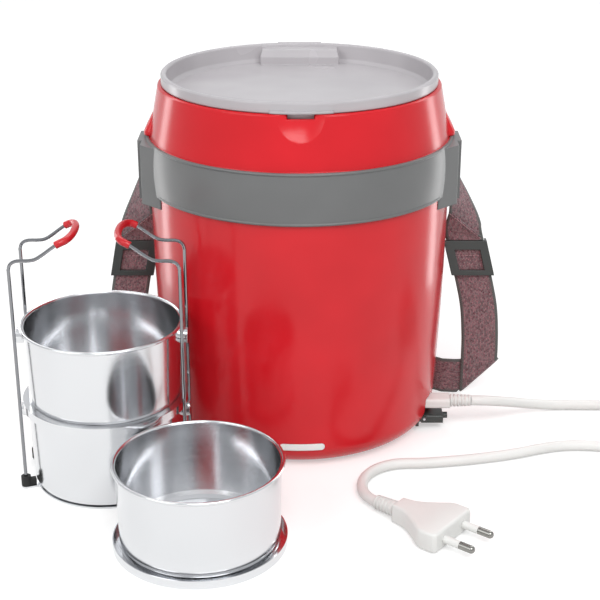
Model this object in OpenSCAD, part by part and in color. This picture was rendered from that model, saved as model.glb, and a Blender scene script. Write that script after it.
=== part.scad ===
/* [Body] */
// Height of the rim of the red body above the floor
body_h = 215.5; // [200:0.5:240]
// Outer radius of the body under the grey band
shell_r = 90.6; // [84:0.1:96]
// Outer radius of the body where the bottom rounding starts
base_r = 86; // [80:0.5:90]
// Outer radius of the body at its rim
rim_r = 84; // [80:0.5:88]
// Radius of the rounding round the bottom
bottom_round = 14; // [10:1:18]
// Wall of the red shells
shell_wall = 2.2; // [1.8:0.1:2.6]
// Radius of the thumb scoop on the front of the rim
scoop_r = 16.5; // [12:0.5:18]
// Depth of the thumb scoop
scoop_depth = 3.6; // [2.4:0.2:3.8]

/* [Band] */
// Height of the lower edge of the band
band_z = 155; // [140:1:160]
// Height of the band
band_h = 30; // [24:1:34]
// Thickness of the band at its edges
band_t = 1.4; // [1.1:0.1:2]
// Crown of the band between its edges
band_crown = 0.7; // [0.3:0.1:1]
// Reach of the strap ears beyond the body
ear_reach = 5.4; // [4.6:0.1:7.4]
// Half width of the strap ears
ear_w = 28; // [24:1:32]
// Diameter of the strap bars
bar_d = 2.4; // [2:0.1:2.8]

/* [Lid] */
// Inset of the lid from the rim of the body
lid_inset = 1.7; // [1.4:0.1:3]
// Height of the outer edge of the lid
lid_edge = 6.2; // [5:0.1:8]
// Width of the rim round the dish of the lid
lid_rim = 3.4; // [2.8:0.1:4]
// Depth of the dish in the top of the lid
dish_depth = 11; // [9:0.5:12]
// Wall of the lid
lid_wall = 2; // [1.6:0.1:2.2]
// Length of the hinge block in the dish
block_l = 50; // [40:1:56]
// Reach of the hinge block from the wall of the dish
block_w = 15; // [10:0.5:18]

/* [Hinge] */
// Diameter of the hinge pin
hinge_d = 3; // [2.4:0.1:3.4]
// Radius of the hinge knuckles
knuckle_r = 4.2; // [3.8:0.1:4.6]
// Length of the middle knuckle
knuckle_l = 28; // [20:1:34]
// Width of each hinge ear
hinge_ear = 6; // [4:0.5:8]

/* [Liner and heater] */
// Inner radius of the steel liner
liner_r = 59; // [56:0.5:61]
// Wall of the steel liner
liner_wall = 0.8; // [0.6:0.1:1]
// Height of the inside floor of the liner
liner_floor = 32.8; // [31:0.2:36]
// Radius of the heater plate
plate_r = 50; // [44:1:53]
// Thickness of the heater plate
plate_t = 4.4; // [3:0.2:5]
// Radius of the ring of the heating element
element_ring = 38; // [32:1:42]
// Diameter of the tube of the heating element
element_d = 6.4; // [5:0.2:6.8]

/* [Power inlet] */
// Distance of the inlet in front of the axis
inlet_y = 28; // [24:1:30]
// Height of the inlet
inlet_z = 17.5; // [17:0.5:19]
// Width of the connector
connector_w = 12; // [11:0.5:15]
// Height of the connector
connector_h = 6.4; // [6:0.2:7.6]
// Depth of the nose of the connector in its socket
nose_l = 16; // [12:0.5:18]
// Diameter of the inlet pins
inlet_pin_d = 2.4; // [2:0.1:2.6]
// Diameter of the cord
cord_d = 6.4; // [6:0.1:6.6]

/* [Plug] */
// Width of the plug
plug_w = 37; // [34:0.5:40]
// Thickness of the plug
plug_t = 12; // [10:0.5:14]
// Length of the plug
plug_l = 37; // [32:1:40]
// Diameter of the plug pins
plug_pin_d = 4.4; // [4:0.1:4.8]
// Length of the plug pins
plug_pin_l = 19; // [17:0.5:20]
// Distance between the plug pins
plug_pin_gap = 19; // [18:0.5:20]

/* [Strap] */
// Width of the webbing
strap_w = 24; // [20:0.5:25]
// Thickness of the webbing
strap_t = 1.4; // [1:0.1:1.6]

/* [Containers] */
// Outer radius of the rolled rim of the containers
can_r = 46.4; // [42:0.2:48]
// Radius of the rolled edge
roll_r = 1; // [0.8:0.1:1.2]
// Wall of the containers
can_wall = 0.7; // [0.5:0.1:1]
// Height of the lower container of the rack
can_low_h = 51; // [44:1:54]
// Height of the upper container of the rack
can_up_h = 47; // [40:1:50]
// Height of the container that stands in front
can_front_h = 47; // [38:1:50]

/* [Rack] */
// Diameter of the rack wire
wire_d = 2; // [1.6:0.1:2.6]
// Half distance between the two wires of a side
wire_y = 17; // [14:1:20]
// Height of the bend under the grip
wire_top = 140; // [136:1:146]
// Rise of the grips above the bend
grip_rise = 12; // [9:0.5:14]
// Wall of the grips
grip_wall = 0.9; // [0.7:0.1:1.6]

/* [Hidden] */

$fn = 96;
e = 0.01;
// Clearance between pieces that are fixed to each other
fix = 0.1;
// Clearance between pieces that move past each other
run = 0.3;

// Body
base_gap = 1;
band_top = band_z + band_h;
shell_joint = band_z + band_h / 2;
lower_span = band_z - base_gap - bottom_round;
function lower_r(z) = z >= band_z ? shell_r
    : shell_r - (shell_r - base_r) * pow((band_z - z) / lower_span, 2);
function upper_r(z) = z <= band_top ? shell_r
    : rim_r + (shell_r - 0.6 - rim_r) * (body_h - z) / (body_h - band_top);
// Inner radius of the upper shell above the band
function neck_r(z) = rim_r - shell_wall
    + (shell_r - rim_r) * (body_h - z) / (body_h - band_top);
round_steps = 10;
function round_pts(r, inset) = [for (i = [0:round_steps])
    let (a = 90 * i / round_steps, s = r - inset)
    [base_r - r + s * sin(a), base_gap + r - s * cos(a)]];
wall_steps = 8;
function wall_pts(inset) = [for (i = [1:wall_steps])
    let (z = base_gap + bottom_round + lower_span * i / wall_steps)
    [lower_r(z) - inset, z]];
base_lip_r = base_r - bottom_round - 8;
cover_t = 2;
lip_z = base_gap + cover_t + fix;

// Liner and collar
collar_top = body_h - 9.5;
collar_t = 2;
flange_r = liner_r + 8;
flange_z = collar_top + fix;
liner_out = liner_r + liner_wall;
liner_bottom = liner_floor - liner_wall;
plate_top = liner_bottom - fix;
plate_z = plate_top - plate_t;
element_z = plate_z - fix - element_d / 2;
shield_r = plate_r + 5;
shield_t = 0.8;
shield_z = element_z - element_d / 2 - 3.4 - shield_t;
shield_screw_ring = plate_r - 24;
post_ring = 44;

// Lid
lid_r = rim_r - lid_inset;
lid_z = body_h + run;
lid_top = lid_z + lid_edge;
panel_top = lid_top - dish_depth;
panel_z = panel_top - lid_wall;
dish_r = lid_r - lid_rim;
panel_r = dish_r - 1.5;
gasket_z = flange_z + liner_wall + run;
pan_r = liner_r - 7;
pan_depth = 9;

// Hinge
hinge_y = rim_r + 6.5;
hinge_z = body_h - 6.5;

// Inlet
nose_w = connector_w;
inlet_inset = 10.6;
connector_x = base_r - inlet_inset;
socket_wall = 1.8;
cavity_w = nose_w + 2 * run;
cavity_h = connector_h + 2 * run;
socket_w = cavity_w + 2 * socket_wall;
socket_h = cavity_h + 2 * socket_wall;
socket_back = connector_x - nose_l - 2;
connector_l = 19;
relief_l = 13.5;
connector_end = connector_x + connector_l;
cord_x0 = connector_end + relief_l;
pin_gap = connector_w - 5.6;
pin_tail = 4;
contact_r = inlet_pin_d / 2 + 0.8;
cover_hinge_x = connector_x + 3;
cover_hinge_z = 8;
cover_pin_r = 0.8;
cover_w = connector_w;

// Strap
ear_x = shell_r + ear_reach;
bar_x = ear_x - 2.2;
bar_z = band_z + 10;
strap_y = 17;
lug_y = strap_y - strap_w / 2 - 1.6;
bar_len = strap_w + 7;

// Containers and rack
rack_angle = 218.405;
rack_reach = shell_r + 52.5;
rack_x = rack_reach * cos(rack_angle);
rack_y = rack_reach * sin(rack_angle);
front_x = rack_x + 58.5;
front_y = rack_y - 75;
rest_z = 0.02;
rack_plate = 1.2;
seat = 0.15;
lid_skirt = 4.2;
lid_sheet = 0.6;
nest = 2;
can_wall_r = can_r - 2 * roll_r;
can_bottom_r = can_wall_r - 0.8;
can_edge = 4;
nest_r = can_bottom_r - 0.15 * can_edge;
can_low_z = rack_plate + seat;
can_lid_z = can_low_z + can_low_h + seat;
can_up_z = can_lid_z - nest + lid_sheet + seat;
front_lid_z = rest_z + lid_sheet;
can_front_z = front_lid_z + nest + seat;
lid_in = can_r + run;
lid_out = lid_in + lid_sheet;
wire_gap = 1.4;
wire_r = wire_d / 2;
wire_x = sqrt(pow(lid_out + wire_gap + wire_r, 2) - wire_y * wire_y);
wire_foot = rack_plate + 0.05;
grip_x = 12.2;
grip_r = wire_r + 0.2 + grip_wall;
foot_r = 2.8;

// Free cord
lay_z = 3.3;
function sway(x) = (1 - cos(180 * (x - cord_x0) / 64)) / 2;
cord_points = concat([for (i = [0:8]) [cord_x0 + 8 * i, 22 * sway(cord_x0 + 8 * i) - inlet_y,
        inlet_z - (inlet_z - lay_z) * sway(cord_x0 + 8 * i)]],
    [for (i = [1:7]) [cord_x0 + 64 + 9 * i, 22 - inlet_y - 0.04 * i * i, lay_z]]);
coil_x = 238;
coil_y = -45;
coil_mean = 34;
coil_columns = 2;
coil_layers = 3;
end_points = [[209, -72.5, lay_z], [197, -67.5, lay_z], [184, -63, lay_z], [171, -61.5, lay_z],
    [158, -62.5, lay_z], [146, -66, lay_z], [133, -71, lay_z], [120, -75, lay_z],
    [102, -79.3, lay_z], [84, -82.4, lay_z], [73, -83.8, lay_z], [64.2, -84.1, lay_z],
    [56.9, -85.1, lay_z], [50.2, -87.9, lay_z], [44.4, -92.3, lay_z], [39.9, -98.1, lay_z],
    [37.1, -104.9, lay_z], [36.2, -112.1, lay_z], [37.1, -119.4, 3.5], [39.9, -126.1, 4],
    [43.7, -131.2, 4.6]];
plug_angle = -38.5;
relief_angle = -46;
plug_z = plug_t / 2 + 0.3;
plug_relief_l = 15.5;
plug_back = [end_points[len(end_points) - 1][0] + plug_relief_l * cos(relief_angle),
    end_points[len(end_points) - 1][1] + plug_relief_l * sin(relief_angle), plug_z];

// Colours
red = [0.84, 0.19, 0.21];
grey = [0.5, 0.5, 0.5];
light_grey = [0.75, 0.74, 0.75];
dark_grey = [0.27, 0.29, 0.28];
steel = [0.8, 0.8, 0.82];
webbing = [0.42, 0.25, 0.28];
white = [0.95, 0.95, 0.95];

// Turns a profile in the r-z plane round the axis
module lathe(points) { rotate_extrude() polygon(points); }

// A rod with a round section between two points
module rod(a, b, r) {
    d = b - a;
    translate(a)
        rotate([0, acos(d[2] / norm(d)), atan2(d[1], d[0])])
            cylinder(h = norm(d), r = r);
}

// A box given by its two corners
module block(a, b) { translate(a) cube(b - a); }

// A slot with round ends along x, cut along y
module slot_y(w, h, depth) {
    rotate([90, 0, 0]) linear_extrude(depth, center = true) {
        square([w - h, h], center = true);
        for (s = [-1, 1]) translate([s * (w - h) / 2, 0]) circle(d = h);
    }
}

// Sweeps a section along a route: frames hold a centre and two axes each
function unit(v) = v / norm(v);
function flatten(rows) = [for (row = rows) each row];
module skin(rings) {
    n = len(rings[0]);
    last = len(rings) - 1;
    sides = [for (i = [0:last - 1], j = [0:n - 1]) let (a = i * n + j, b = i * n + (j + 1) % n)
        each [[a, a + n, b + n], [a, b + n, b]]];
    start = [[for (j = [0:n - 1]) j]];
    end = [[for (j = [n - 1:-1:0]) last * n + j]];
    polyhedron(flatten(rings), concat(sides, start, end));
}
function tangent(p, i) = unit(p[min(i + 1, len(p) - 1)] - p[max(i - 1, 0)]);
function side_of(t) = abs(t[2]) > 0.9 ? unit(cross([1, 0, 0], t)) : unit(cross([0, 0, 1], t));
module tube(p, r, n) {
    skin([for (i = [0:len(p) - 1])
        let (t = tangent(p, i), u = side_of(t), v = cross(t, u))
        [for (j = [0:n - 1]) p[i] + r * (cos(360 * j / n) * u + sin(360 * j / n) * v)]]);
}
// Points of a smooth curve through the points p, with k steps between each pair
function curve_at(p, i, s) =
    let (a = p[max(i - 1, 0)], b = p[i], c = p[i + 1], d = p[min(i + 2, len(p) - 1)])
    0.5 * (2 * b + (c - a) * s + (2 * a - 5 * b + 4 * c - d) * s * s
        + (3 * b - a - 3 * c + d) * s * s * s);
function smooth(p, k) = concat(
    [for (i = [0:len(p) - 2], j = [0:k - 1]) curve_at(p, i, j / k)], [p[len(p) - 1]]);
// A flat ribbon: each station holds a centre and the half width as a vector
module ribbon(c, w, t) {
    skin([for (i = [0:len(c) - 1])
        let (n = unit(cross(tangent(c, i), unit(w[i]))) * t / 2)
        [c[i] - w[i] - n, c[i] + w[i] - n, c[i] + w[i] + n, c[i] - w[i] + n]]);
}

module outer_solid() {
    lathe(concat([[0, base_gap]], round_pts(bottom_round, 0), wall_pts(0),
        [[shell_r, shell_joint], [0, shell_joint]]));
}
module outer_cavity() {
    lathe(concat([[0, lip_z + shell_wall], [base_r - bottom_round + 4, lip_z + shell_wall]],
        [for (p = round_pts(bottom_round, shell_wall)) if (p[1] > lip_z + shell_wall) p],
        wall_pts(shell_wall),
        [[shell_r - shell_wall, shell_joint + 1], [0, shell_joint + 1]]));
}
screw_ring = base_lip_r + 4;
screw_angles = [45, 135, 225, 315];
lens_w = 27;
lens_h = 4.4;
lens_x = 1.6;
lens_z = base_gap + bottom_round;

module outer_shell() color(red) difference() {
    union() {
        difference() {
            outer_solid();
            outer_cavity();
        }
        for (a = screw_angles) rotate(a) translate([screw_ring, 0, lip_z])
            cylinder(r = 4, h = 8);
    }
    translate([0, 0, -e]) cylinder(r = base_lip_r, h = lip_z + shell_wall + 1);
    translate([0, 0, -e]) cylinder(r = base_r - bottom_round - 0.6, h = lip_z + e);
    for (a = screw_angles) rotate(a) translate([screw_ring, 0, lip_z - 1])
        cylinder(r = 1.25, h = 8);
    translate([lens_x, -base_r, lens_z]) slot_y(lens_w, lens_h, 12);
    block([plate_x - fix, -inlet_y - mouth_w / 2, base_gap + cover_t],
        [shell_r, -inlet_y + mouth_w / 2, inlet_z + connector_h / 2 + 0.5]);
    block([plate_x - fix, -inlet_y - lug_out - run, base_gap + cover_t],
        [shell_r, -inlet_y + lug_out + run, cover_hinge_z + lug_half + run]);
}

scoop_up = 8;
scoop_ring = (scoop_r * scoop_r + scoop_depth * scoop_depth) / (2 * scoop_depth);
scoop_ball = sqrt(scoop_ring * scoop_ring + scoop_up * scoop_up);
scoop_y = rim_r + 0.4 - scoop_depth + scoop_ring;
scoop_back_r = rim_r - shell_wall - 2.1;
lobe_r = 5;
module side_lobe(s) {
    intersection() {
        translate([0, 0, band_top + fix]) cylinder(r = shell_r + 10, h = 25);
        hull() for (y = [-9, 9]) {
            translate([s * (upper_r(band_top) - lobe_r + 2.4), y, band_top + 1])
                sphere(r = lobe_r, $fn = 32);
            translate([s * (rim_r - 1), y * 0.8, band_top + 14]) sphere(r = 3.4, $fn = 32);
        }
    }
}
module upper_shell() color(red) difference() {
    union() {
        difference() {
            union() {
                lathe([[0, shell_joint + fix], [shell_r, shell_joint + fix],
                    [shell_r, band_top - 0.5], [upper_r(band_top + e), band_top],
                    [rim_r + 0.4, body_h - 0.8], [rim_r - 0.3, body_h], [0, body_h]]);
                side_lobe(1);
                side_lobe(-1);
                for (s = [-1, 1]) hinge_lug(s * (knuckle_l / 2 + run + hinge_ear / 2), hinge_ear);
            }
            lathe([[0, shell_joint], [shell_r - shell_wall, shell_joint],
                [shell_r - shell_wall, band_top], [rim_r - shell_wall, body_h + e],
                [0, body_h + e]]);
        }
        intersection() {
            difference() {
                translate([0, 0, body_h - 11.7]) cylinder(r = rim_r, h = 8.8);
                translate([0, 0, body_h - 12]) cylinder(r = scoop_back_r, h = 10);
            }
            block([-scoop_r - 4, -rim_r, body_h - 16], [scoop_r + 4, -rim_r / 2, body_h]);
        }
    }
    translate([1, -scoop_y, body_h + scoop_up]) sphere(r = scoop_ball);
    hinge_bore(knuckle_l + 2 * hinge_ear + 4, hinge_d / 2 + 0.02);
}
module hinge_lug(x, w) {
    translate([x, 0, 0]) {
        translate([-w / 2, hinge_y, hinge_z]) rotate([0, 90, 0]) cylinder(r = knuckle_r, h = w);
        block([-w / 2, rim_r - 2, hinge_z - knuckle_r], [w / 2, hinge_y, hinge_z + knuckle_r]);
    }
}
module hinge_bore(l, r) {
    translate([-l / 2, hinge_y, hinge_z]) rotate([0, 90, 0]) cylinder(r = r, h = l);
}
module hinge_pin() color(steel) hinge_bore(knuckle_l + 2 * hinge_ear + 1, hinge_d / 2);

// The grey band with its strap ears
band_steps = 10;
band_in = shell_r + fix;
ear_z = band_z - 7;
bar_clear = bar_d / 2 + 0.02;
module ear(s) {
    mirror([s < 0 ? 1 : 0, 0, 0]) difference() {
        intersection() {
            translate([0, 0, ear_z]) cylinder(r = ear_x + 3, h = band_top - ear_z - 1.2);
            union() {
                translate([0, 0, ear_z]) linear_extrude(band_top - ear_z)
                    polygon([[shell_r - 6, lug_y], [shell_r * 0.8, -ear_w * 1.75],
                        [ear_x - 2.6, -ear_w * 1.05], [ear_x - 2.6, -ear_w + 9],
                        [ear_x, -ear_w + 9], [ear_x, lug_y]]);
                block([shell_r - 6, lug_y + bar_len, band_z + 2],
                    [ear_x, lug_y + bar_len + 3, band_top - 3]);
            }
        }
        translate([0, 0, ear_z - 1]) cylinder(r = band_in, h = band_h + 20);
        bar_bore(1);
    }
}
module bar_bore(s) {
    translate([s * bar_x, lug_y - 4, bar_z]) rotate([-90, 0, 0])
        cylinder(r = bar_clear, h = bar_len + 6);
}
module band() color(grey) {
    difference() {
        lathe(concat([[band_in, band_z]],
            [for (i = [0:band_steps]) let (u = 2 * i / band_steps - 1)
                [band_in + band_t + band_crown * (1 - u * u), band_z + band_h * i / band_steps]],
            [[band_in, band_top]]));
        for (s = [-1, 1]) {
            bar_bore(s);
            translate([s * bar_x, lug_y + bar_len / 2, band_z + band_h / 2 - 5])
                cube([16, bar_len, band_h + 1], center = true);
        }
    }
    ear(1);
    ear(-1);
}
module strap_bars() color(steel) for (s = [-1, 1])
    translate([s * bar_x, lug_y - 3.5, bar_z]) rotate([-90, 0, 0])
        cylinder(d = bar_d, h = bar_len + 5);

// Collar, liner and insulation
collar_r = min(rim_r, neck_r(collar_top - collar_t) + shell_wall) - shell_wall - 0.4;
module collar() color(light_grey) difference() {
    lathe([[liner_out + fix, collar_top - collar_t], [collar_r, collar_top - collar_t],
        [collar_r, body_h - 4.6], [collar_r - 1.6, body_h - 4.6],
        [collar_r - 1.6, collar_top], [liner_out + fix, collar_top]]);
    intersection() {
        block([-scoop_r - 5, -rim_r, collar_top - 3], [scoop_r + 5, -rim_r / 2, body_h]);
        difference() {
            translate([0, 0, collar_top - 4]) cylinder(r = rim_r, h = 20);
            translate([0, 0, collar_top - 5]) cylinder(r = scoop_back_r - fix, h = 22);
        }
    }
}
module inner_liner() color(steel) difference() {
    lathe([[0, liner_bottom], [liner_out - 4, liner_bottom], [liner_out, liner_bottom + 4],
        [liner_out, flange_z], [flange_r, flange_z], [flange_r, flange_z + liner_wall],
        [0, flange_z + liner_wall]]);
    lathe([[0, liner_floor], [liner_r - 4, liner_floor], [liner_r, liner_floor + 4],
        [liner_r, body_h], [0, body_h]]);
}
foam_z = liner_floor + 3.4;
foam_top = collar_top - collar_t - run;
module insulation() color([0.93, 0.88, 0.7]) difference() {
    lathe(concat([[liner_out + fix, foam_z]],
        [for (i = [0:wall_steps]) let (z = foam_z + (band_z - foam_z) * i / wall_steps)
            [lower_r(z) - shell_wall - run, z]],
        [[shell_r - shell_wall - run, band_top], [neck_r(foam_top) - run, foam_top],
            [liner_out + fix, foam_top]]));
}

// Heater
element_gap = 25;
terminal_l = 8;
terminal_r = 1.7;
function terminal(s) = [element_ring * cos(element_gap) + 6 * sin(element_gap),
    s * (element_ring * sin(element_gap) - 6 * cos(element_gap)),
    element_z - terminal_r - 0.6];
function tab(s) = [11, s * 4, plate_z - 6.2];
module heater_plate() color([0.7, 0.7, 0.7]) difference() {
    translate([0, 0, plate_z]) cylinder(r = plate_r, h = plate_t);
    for (a = [30, 150, 270]) rotate(a) translate([shield_screw_ring, 0, plate_z - 1])
        cylinder(r = 1.55, h = plate_t - 0.8);
}
module heating_element() color([0.35, 0.34, 0.33]) {
    rotate(element_gap) translate([0, 0, element_z]) rotate_extrude(angle = 360 - 2 * element_gap)
        translate([element_ring, 0]) circle(d = element_d, $fn = 32);
    for (s = [-1, 1]) rotate(s * element_gap) translate([element_ring, 0, element_z])
        rotate([s * 90, 0, 0]) cylinder(r = terminal_r, h = terminal_l, $fn = 32);
}
module element_clamp() color(steel) difference() {
    union() {
        for (a = [30, 150, 270]) rotate(a)
            block([shield_screw_ring - 5, -5, element_z - element_d / 2 - 1.3],
                [element_ring + 4, 5, element_z - element_d / 2 - fix]);
        for (a = [30, 150, 270]) rotate(a)
            translate([shield_screw_ring, 0, element_z - element_d / 2 - 1.3])
                cylinder(r = 3.4, h = plate_z - element_z + element_d / 2 + 1.2);
    }
    for (a = [30, 150, 270]) rotate(a) translate([shield_screw_ring, 0, shield_z])
        cylinder(r = 1.7, h = 20);
}
module heat_shield() color(steel) difference() {
    lathe([[0, shield_z], [shield_r, shield_z], [shield_r, plate_top], [0, plate_top]]);
    translate([0, 0, shield_z + shield_t]) cylinder(r = shield_r - shield_t, h = 30);
    for (a = [30, 150, 270]) rotate(a) translate([shield_screw_ring, 0, shield_z - 1])
        cylinder(r = 1.7, h = 4);
    for (p = [terminal(-1), terminal(1), tab(-1)]) translate([p[0], p[1], shield_z - 1])
        cylinder(r = 3.4, h = 4);
}
shield_spacer = element_z - element_d / 2 - 1.3 - shield_z - shield_t;
module shield_screws() color(steel) for (a = [30, 150, 270]) rotate(a)
    translate([shield_screw_ring, 0, 0]) {
        translate([0, 0, shield_z - fix - 2]) cylinder(r = 3, h = 2);
        translate([0, 0, shield_z - fix - e]) cylinder(r = 1.5, h = plate_z - shield_z + 2.4);
        translate([0, 0, shield_z + shield_t + fix / 2])
            cylinder(r = 2.6, h = shield_spacer - fix);
    }
module thermostat() color([0.15, 0.15, 0.15]) {
    translate([0, 0, plate_z - fix - 7]) cylinder(r = 8, h = 7);
    for (y = [-4, 4]) block([6, y - 1.5, plate_z - 6], [12, y + 1.5, plate_z - 5.2]);
}
module thermal_fuse() color([0.75, 0.6, 0.35]) translate([0, 18, plate_z - fix - 2])
    rotate([0, 90, 0]) {
        cylinder(r = 2, h = 10, center = true);
        cylinder(r = 0.5, h = 22, center = true, $fn = 16);
    }

// Indicator
module indicator_lens() color(white) intersection() {
    difference() {
        translate([0, 0, lens_z - 4]) cylinder(r = base_r + 0.3, h = 8);
        translate([0, 0, lens_z - 5]) cylinder(r = base_r - shell_wall - 0.6, h = 10);
    }
    translate([lens_x, -base_r, lens_z]) slot_y(lens_w - 2 * fix, lens_h - 2 * fix, 14);
}
lamp_y = base_r - shell_wall - 4.2;
module indicator_lamp() color([1, 0.6, 0.3]) {
    translate([lens_x - 8, -lamp_y, lens_z]) rotate([0, 90, 0]) cylinder(r = 2.6, h = 16);
    for (s = [-1, 1]) translate([lens_x + s * 6.4, 0, 0])
        block([-1.5, -lamp_y + 1.8, lip_z + shell_wall + fix], [1.5, -lamp_y + 5.6, lens_z]);
}

// Inlet socket with its pins
plate_x = connector_x - 2.4;
lug_t = 1.6;
lug_half = 1.6;
mouth_w = cover_w + 2 * run + 0.2;
lug_out = cover_w / 2 + run + lug_t;
// A bar along x with rounded edges, centred on y and z
module round_bar(x0, x1, w, h, r) {
    translate([x0, 0, 0]) rotate([90, 0, 90]) linear_extrude(x1 - x0) {
        square([w - 2 * r, h], center = true);
        square([w, h - 2 * r], center = true);
        for (y = [-1, 1], z = [-1, 1]) translate([y * (w / 2 - r), z * (h / 2 - r)])
            circle(r = r, $fn = 32);
    }
}
module inlet_socket() color(dark_grey) intersection() {
    socket_solid();
    union() {
        translate([0, 0, base_gap]) cylinder(r = base_r - shell_wall - 0.4, h = 40);
        block([0, -inlet_y - lug_out, base_gap], [shell_r, -inlet_y + lug_out,
            cover_hinge_z + lug_half]);
    }
}
module socket_solid() {
    difference() {
        block([socket_back, -inlet_y - socket_w / 2, inlet_z - socket_h / 2],
            [connector_x - 0.4, -inlet_y + socket_w / 2, inlet_z + socket_h / 2]);
        block([socket_back + 2, -inlet_y - cavity_w / 2, inlet_z - cavity_h / 2],
            [connector_x, -inlet_y + cavity_w / 2, inlet_z + cavity_h / 2]);
        for (s = [-1, 1]) translate([socket_back - 1, -inlet_y + s * pin_gap / 2, inlet_z])
            rotate([0, 90, 0]) cylinder(d = inlet_pin_d + 0.04, h = 5);
    }
    block([plate_x, -inlet_y - cover_w / 2, base_gap + cover_t + fix],
        [connector_x - 0.4, -inlet_y + cover_w / 2, inlet_z - socket_h / 2 + e]);
    block([plate_x, -inlet_y - lug_out, base_gap + cover_t + fix],
        [connector_x - 0.4, -inlet_y + lug_out, cover_hinge_z + lug_half]);
    for (s = [-1, 1]) difference() {
        block([plate_x, -inlet_y + s * (lug_out - lug_t / 2) - lug_t / 2, cover_hinge_z - lug_half],
            [cover_hinge_x + lug_half, -inlet_y + s * (lug_out - lug_t / 2) + lug_t / 2,
            cover_hinge_z + lug_half]);
        cover_bore(cover_pin_r + 0.02);
    }
}
module cover_bore(r) {
    translate([cover_hinge_x, -inlet_y - cover_w, cover_hinge_z]) rotate([-90, 0, 0])
        cylinder(r = r, h = 2 * cover_w);
}
module inlet_pins() color([0.8, 0.7, 0.4]) for (s = [-1, 1])
    translate([socket_back - pin_tail, -inlet_y + s * pin_gap / 2, inlet_z])
        rotate([0, 90, 0]) cylinder(d = inlet_pin_d, h = nose_l + pin_tail - 2);
module cover_pin() color(steel)
    translate([cover_hinge_x, -inlet_y - lug_out, cover_hinge_z])
        rotate([-90, 0, 0]) cylinder(r = cover_pin_r, h = 2 * lug_out);

// Flap of the inlet, folded open
flap_l = 12;
flap_h = 5.4;
module inlet_cover() color(dark_grey) difference() {
    translate([cover_hinge_x, -inlet_y, cover_hinge_z + lug_half - flap_h / 2]) {
        round_bar(-lug_half, flap_l, cover_w, flap_h, 1.2);
        translate([flap_l - 1, 0, 0.4]) rotate([0, 90, 0]) cylinder(r = 2, h = 4);
    }
    cover_bore(cover_pin_r + 0.06);
}

// Leads inside the base
lead_z = base_gap + cover_t + 4;
pin_rear = socket_back - pin_tail;
module wiring() color([0.8, 0.2, 0.15]) {
    for (s = [-1, 1]) {
        a = [pin_rear + 1, -inlet_y + s * pin_gap / 2, inlet_z - inlet_pin_d / 2 - 0.2];
        b = s < 0 ? terminal(-1) : tab(-1);
        tube(smooth([a, a + [-0.6, 0, -4], [(a[0] + b[0]) / 2 + 2, (a[1] + b[1]) / 2, lead_z + 3],
            [b[0], b[1], shield_z - 4], [b[0], b[1], shield_z + 3], b], 3), 0.9, 8);
    }
    c = terminal(1);
    tube(smooth([tab(1) + [0, 0, -0.4], tab(1) + [2, -1, -1.6], [20, 2, element_z - 5],
        [29, 4, element_z - 5], c + [0, -2.5, -2.6], c], 3), 0.8, 8);
    tube(smooth([[lens_x + 8.5, -lamp_y, lens_z], [20, 7.6 - lamp_y, 11], [27, 17.6 - lamp_y, lead_z + 1],
        [36, 27.6 - lamp_y, lead_z], [46, -40, lead_z + 2], [pin_rear + 2, -inlet_y - pin_gap / 2 - 1, 11],
        [pin_rear + 1, -inlet_y - pin_gap / 2, inlet_z - inlet_pin_d / 2 - 2]], 3), 0.8, 8);
}

// Base
module base_cover() color(dark_grey) difference() {
    union() {
        translate([0, 0, base_gap]) cylinder(r = base_r - bottom_round - 0.8, h = cover_t);
        for (a = [0:120:240]) rotate(a + 75) translate([post_ring, 0, base_gap])
            cylinder(r = 4, h = shield_z - base_gap - fix);
    }
    for (a = screw_angles) rotate(a) translate([screw_ring, 0, base_gap - 1])
        cylinder(r = 1.6, h = cover_t + 2);
    for (a = screw_angles) rotate(a) translate([screw_ring, 0, base_gap - 1])
        cylinder(r = 3.2, h = 2);
}
module base_screws() color(steel) for (a = screw_angles) rotate(a)
    translate([screw_ring, 0, base_gap - 0.4]) {
        cylinder(r = 2.8, h = 1.3);
        cylinder(r = 1.2, h = 8);
    }
module foot_pad() color([0.2, 0.2, 0.2]) cylinder(r = base_lip_r - 6, h = base_gap - e);

// Lid
hinge_arm_z = lid_top - 2.4;
lid_screw_ring = pan_r + 3.4;
module lid_shell() color(light_grey) difference() {
    union() {
        lathe([[0, panel_z], [dish_r + 0.1, panel_z], [dish_r + 0.6, lid_z], [lid_r, lid_z],
            [lid_r, lid_top - 1], [lid_r - 1, lid_top], [dish_r + 0.8, lid_top],
            [dish_r, lid_top - 0.8], [panel_r + 0.4, panel_top + 2], [panel_r - 1.6, panel_top],
            [0, panel_top]]);
        intersection() {
            translate([0, 0, panel_top - 1]) cylinder(r = dish_r + 0.4, h = dish_depth - 0.6);
            hull() {
                block([-block_l / 2, dish_r - block_w, panel_top - 1],
                    [block_l / 2, dish_r + 2, panel_top + dish_depth - 6]);
                block([-block_l / 2 + 1, dish_r - block_w + 4, panel_top - 1],
                    [block_l / 2 - 1, dish_r + 2, panel_top + dish_depth - 2]);
            }
        }
        block([-knuckle_l / 2, lid_r - 3.6, lid_z + 0.6], [knuckle_l / 2, hinge_y, hinge_arm_z]);
        block([-knuckle_l / 2, hinge_y - knuckle_r + 0.4, hinge_z],
            [knuckle_l / 2, hinge_y + knuckle_r, hinge_arm_z]);
        translate([-knuckle_l / 2, hinge_y, hinge_z]) rotate([0, 90, 0])
            cylinder(r = knuckle_r, h = knuckle_l);
        intersection() {
            translate([0, 0, lid_z]) cylinder(r = lid_r + 1.1, h = 1.6);
            block([-scoop_r, -lid_r - 2, lid_z], [scoop_r + 2, -lid_r + 2, lid_top]);
        }
    }
    for (a = [60, 180, 300]) rotate(a) translate([lid_screw_ring, 0, panel_z - 1])
        cylinder(r = 1.25, h = 2.2);
    hinge_bore(knuckle_l + 2, hinge_d / 2 + 0.06);
}
pan_floor = panel_z - pan_depth + 0.8;
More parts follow.
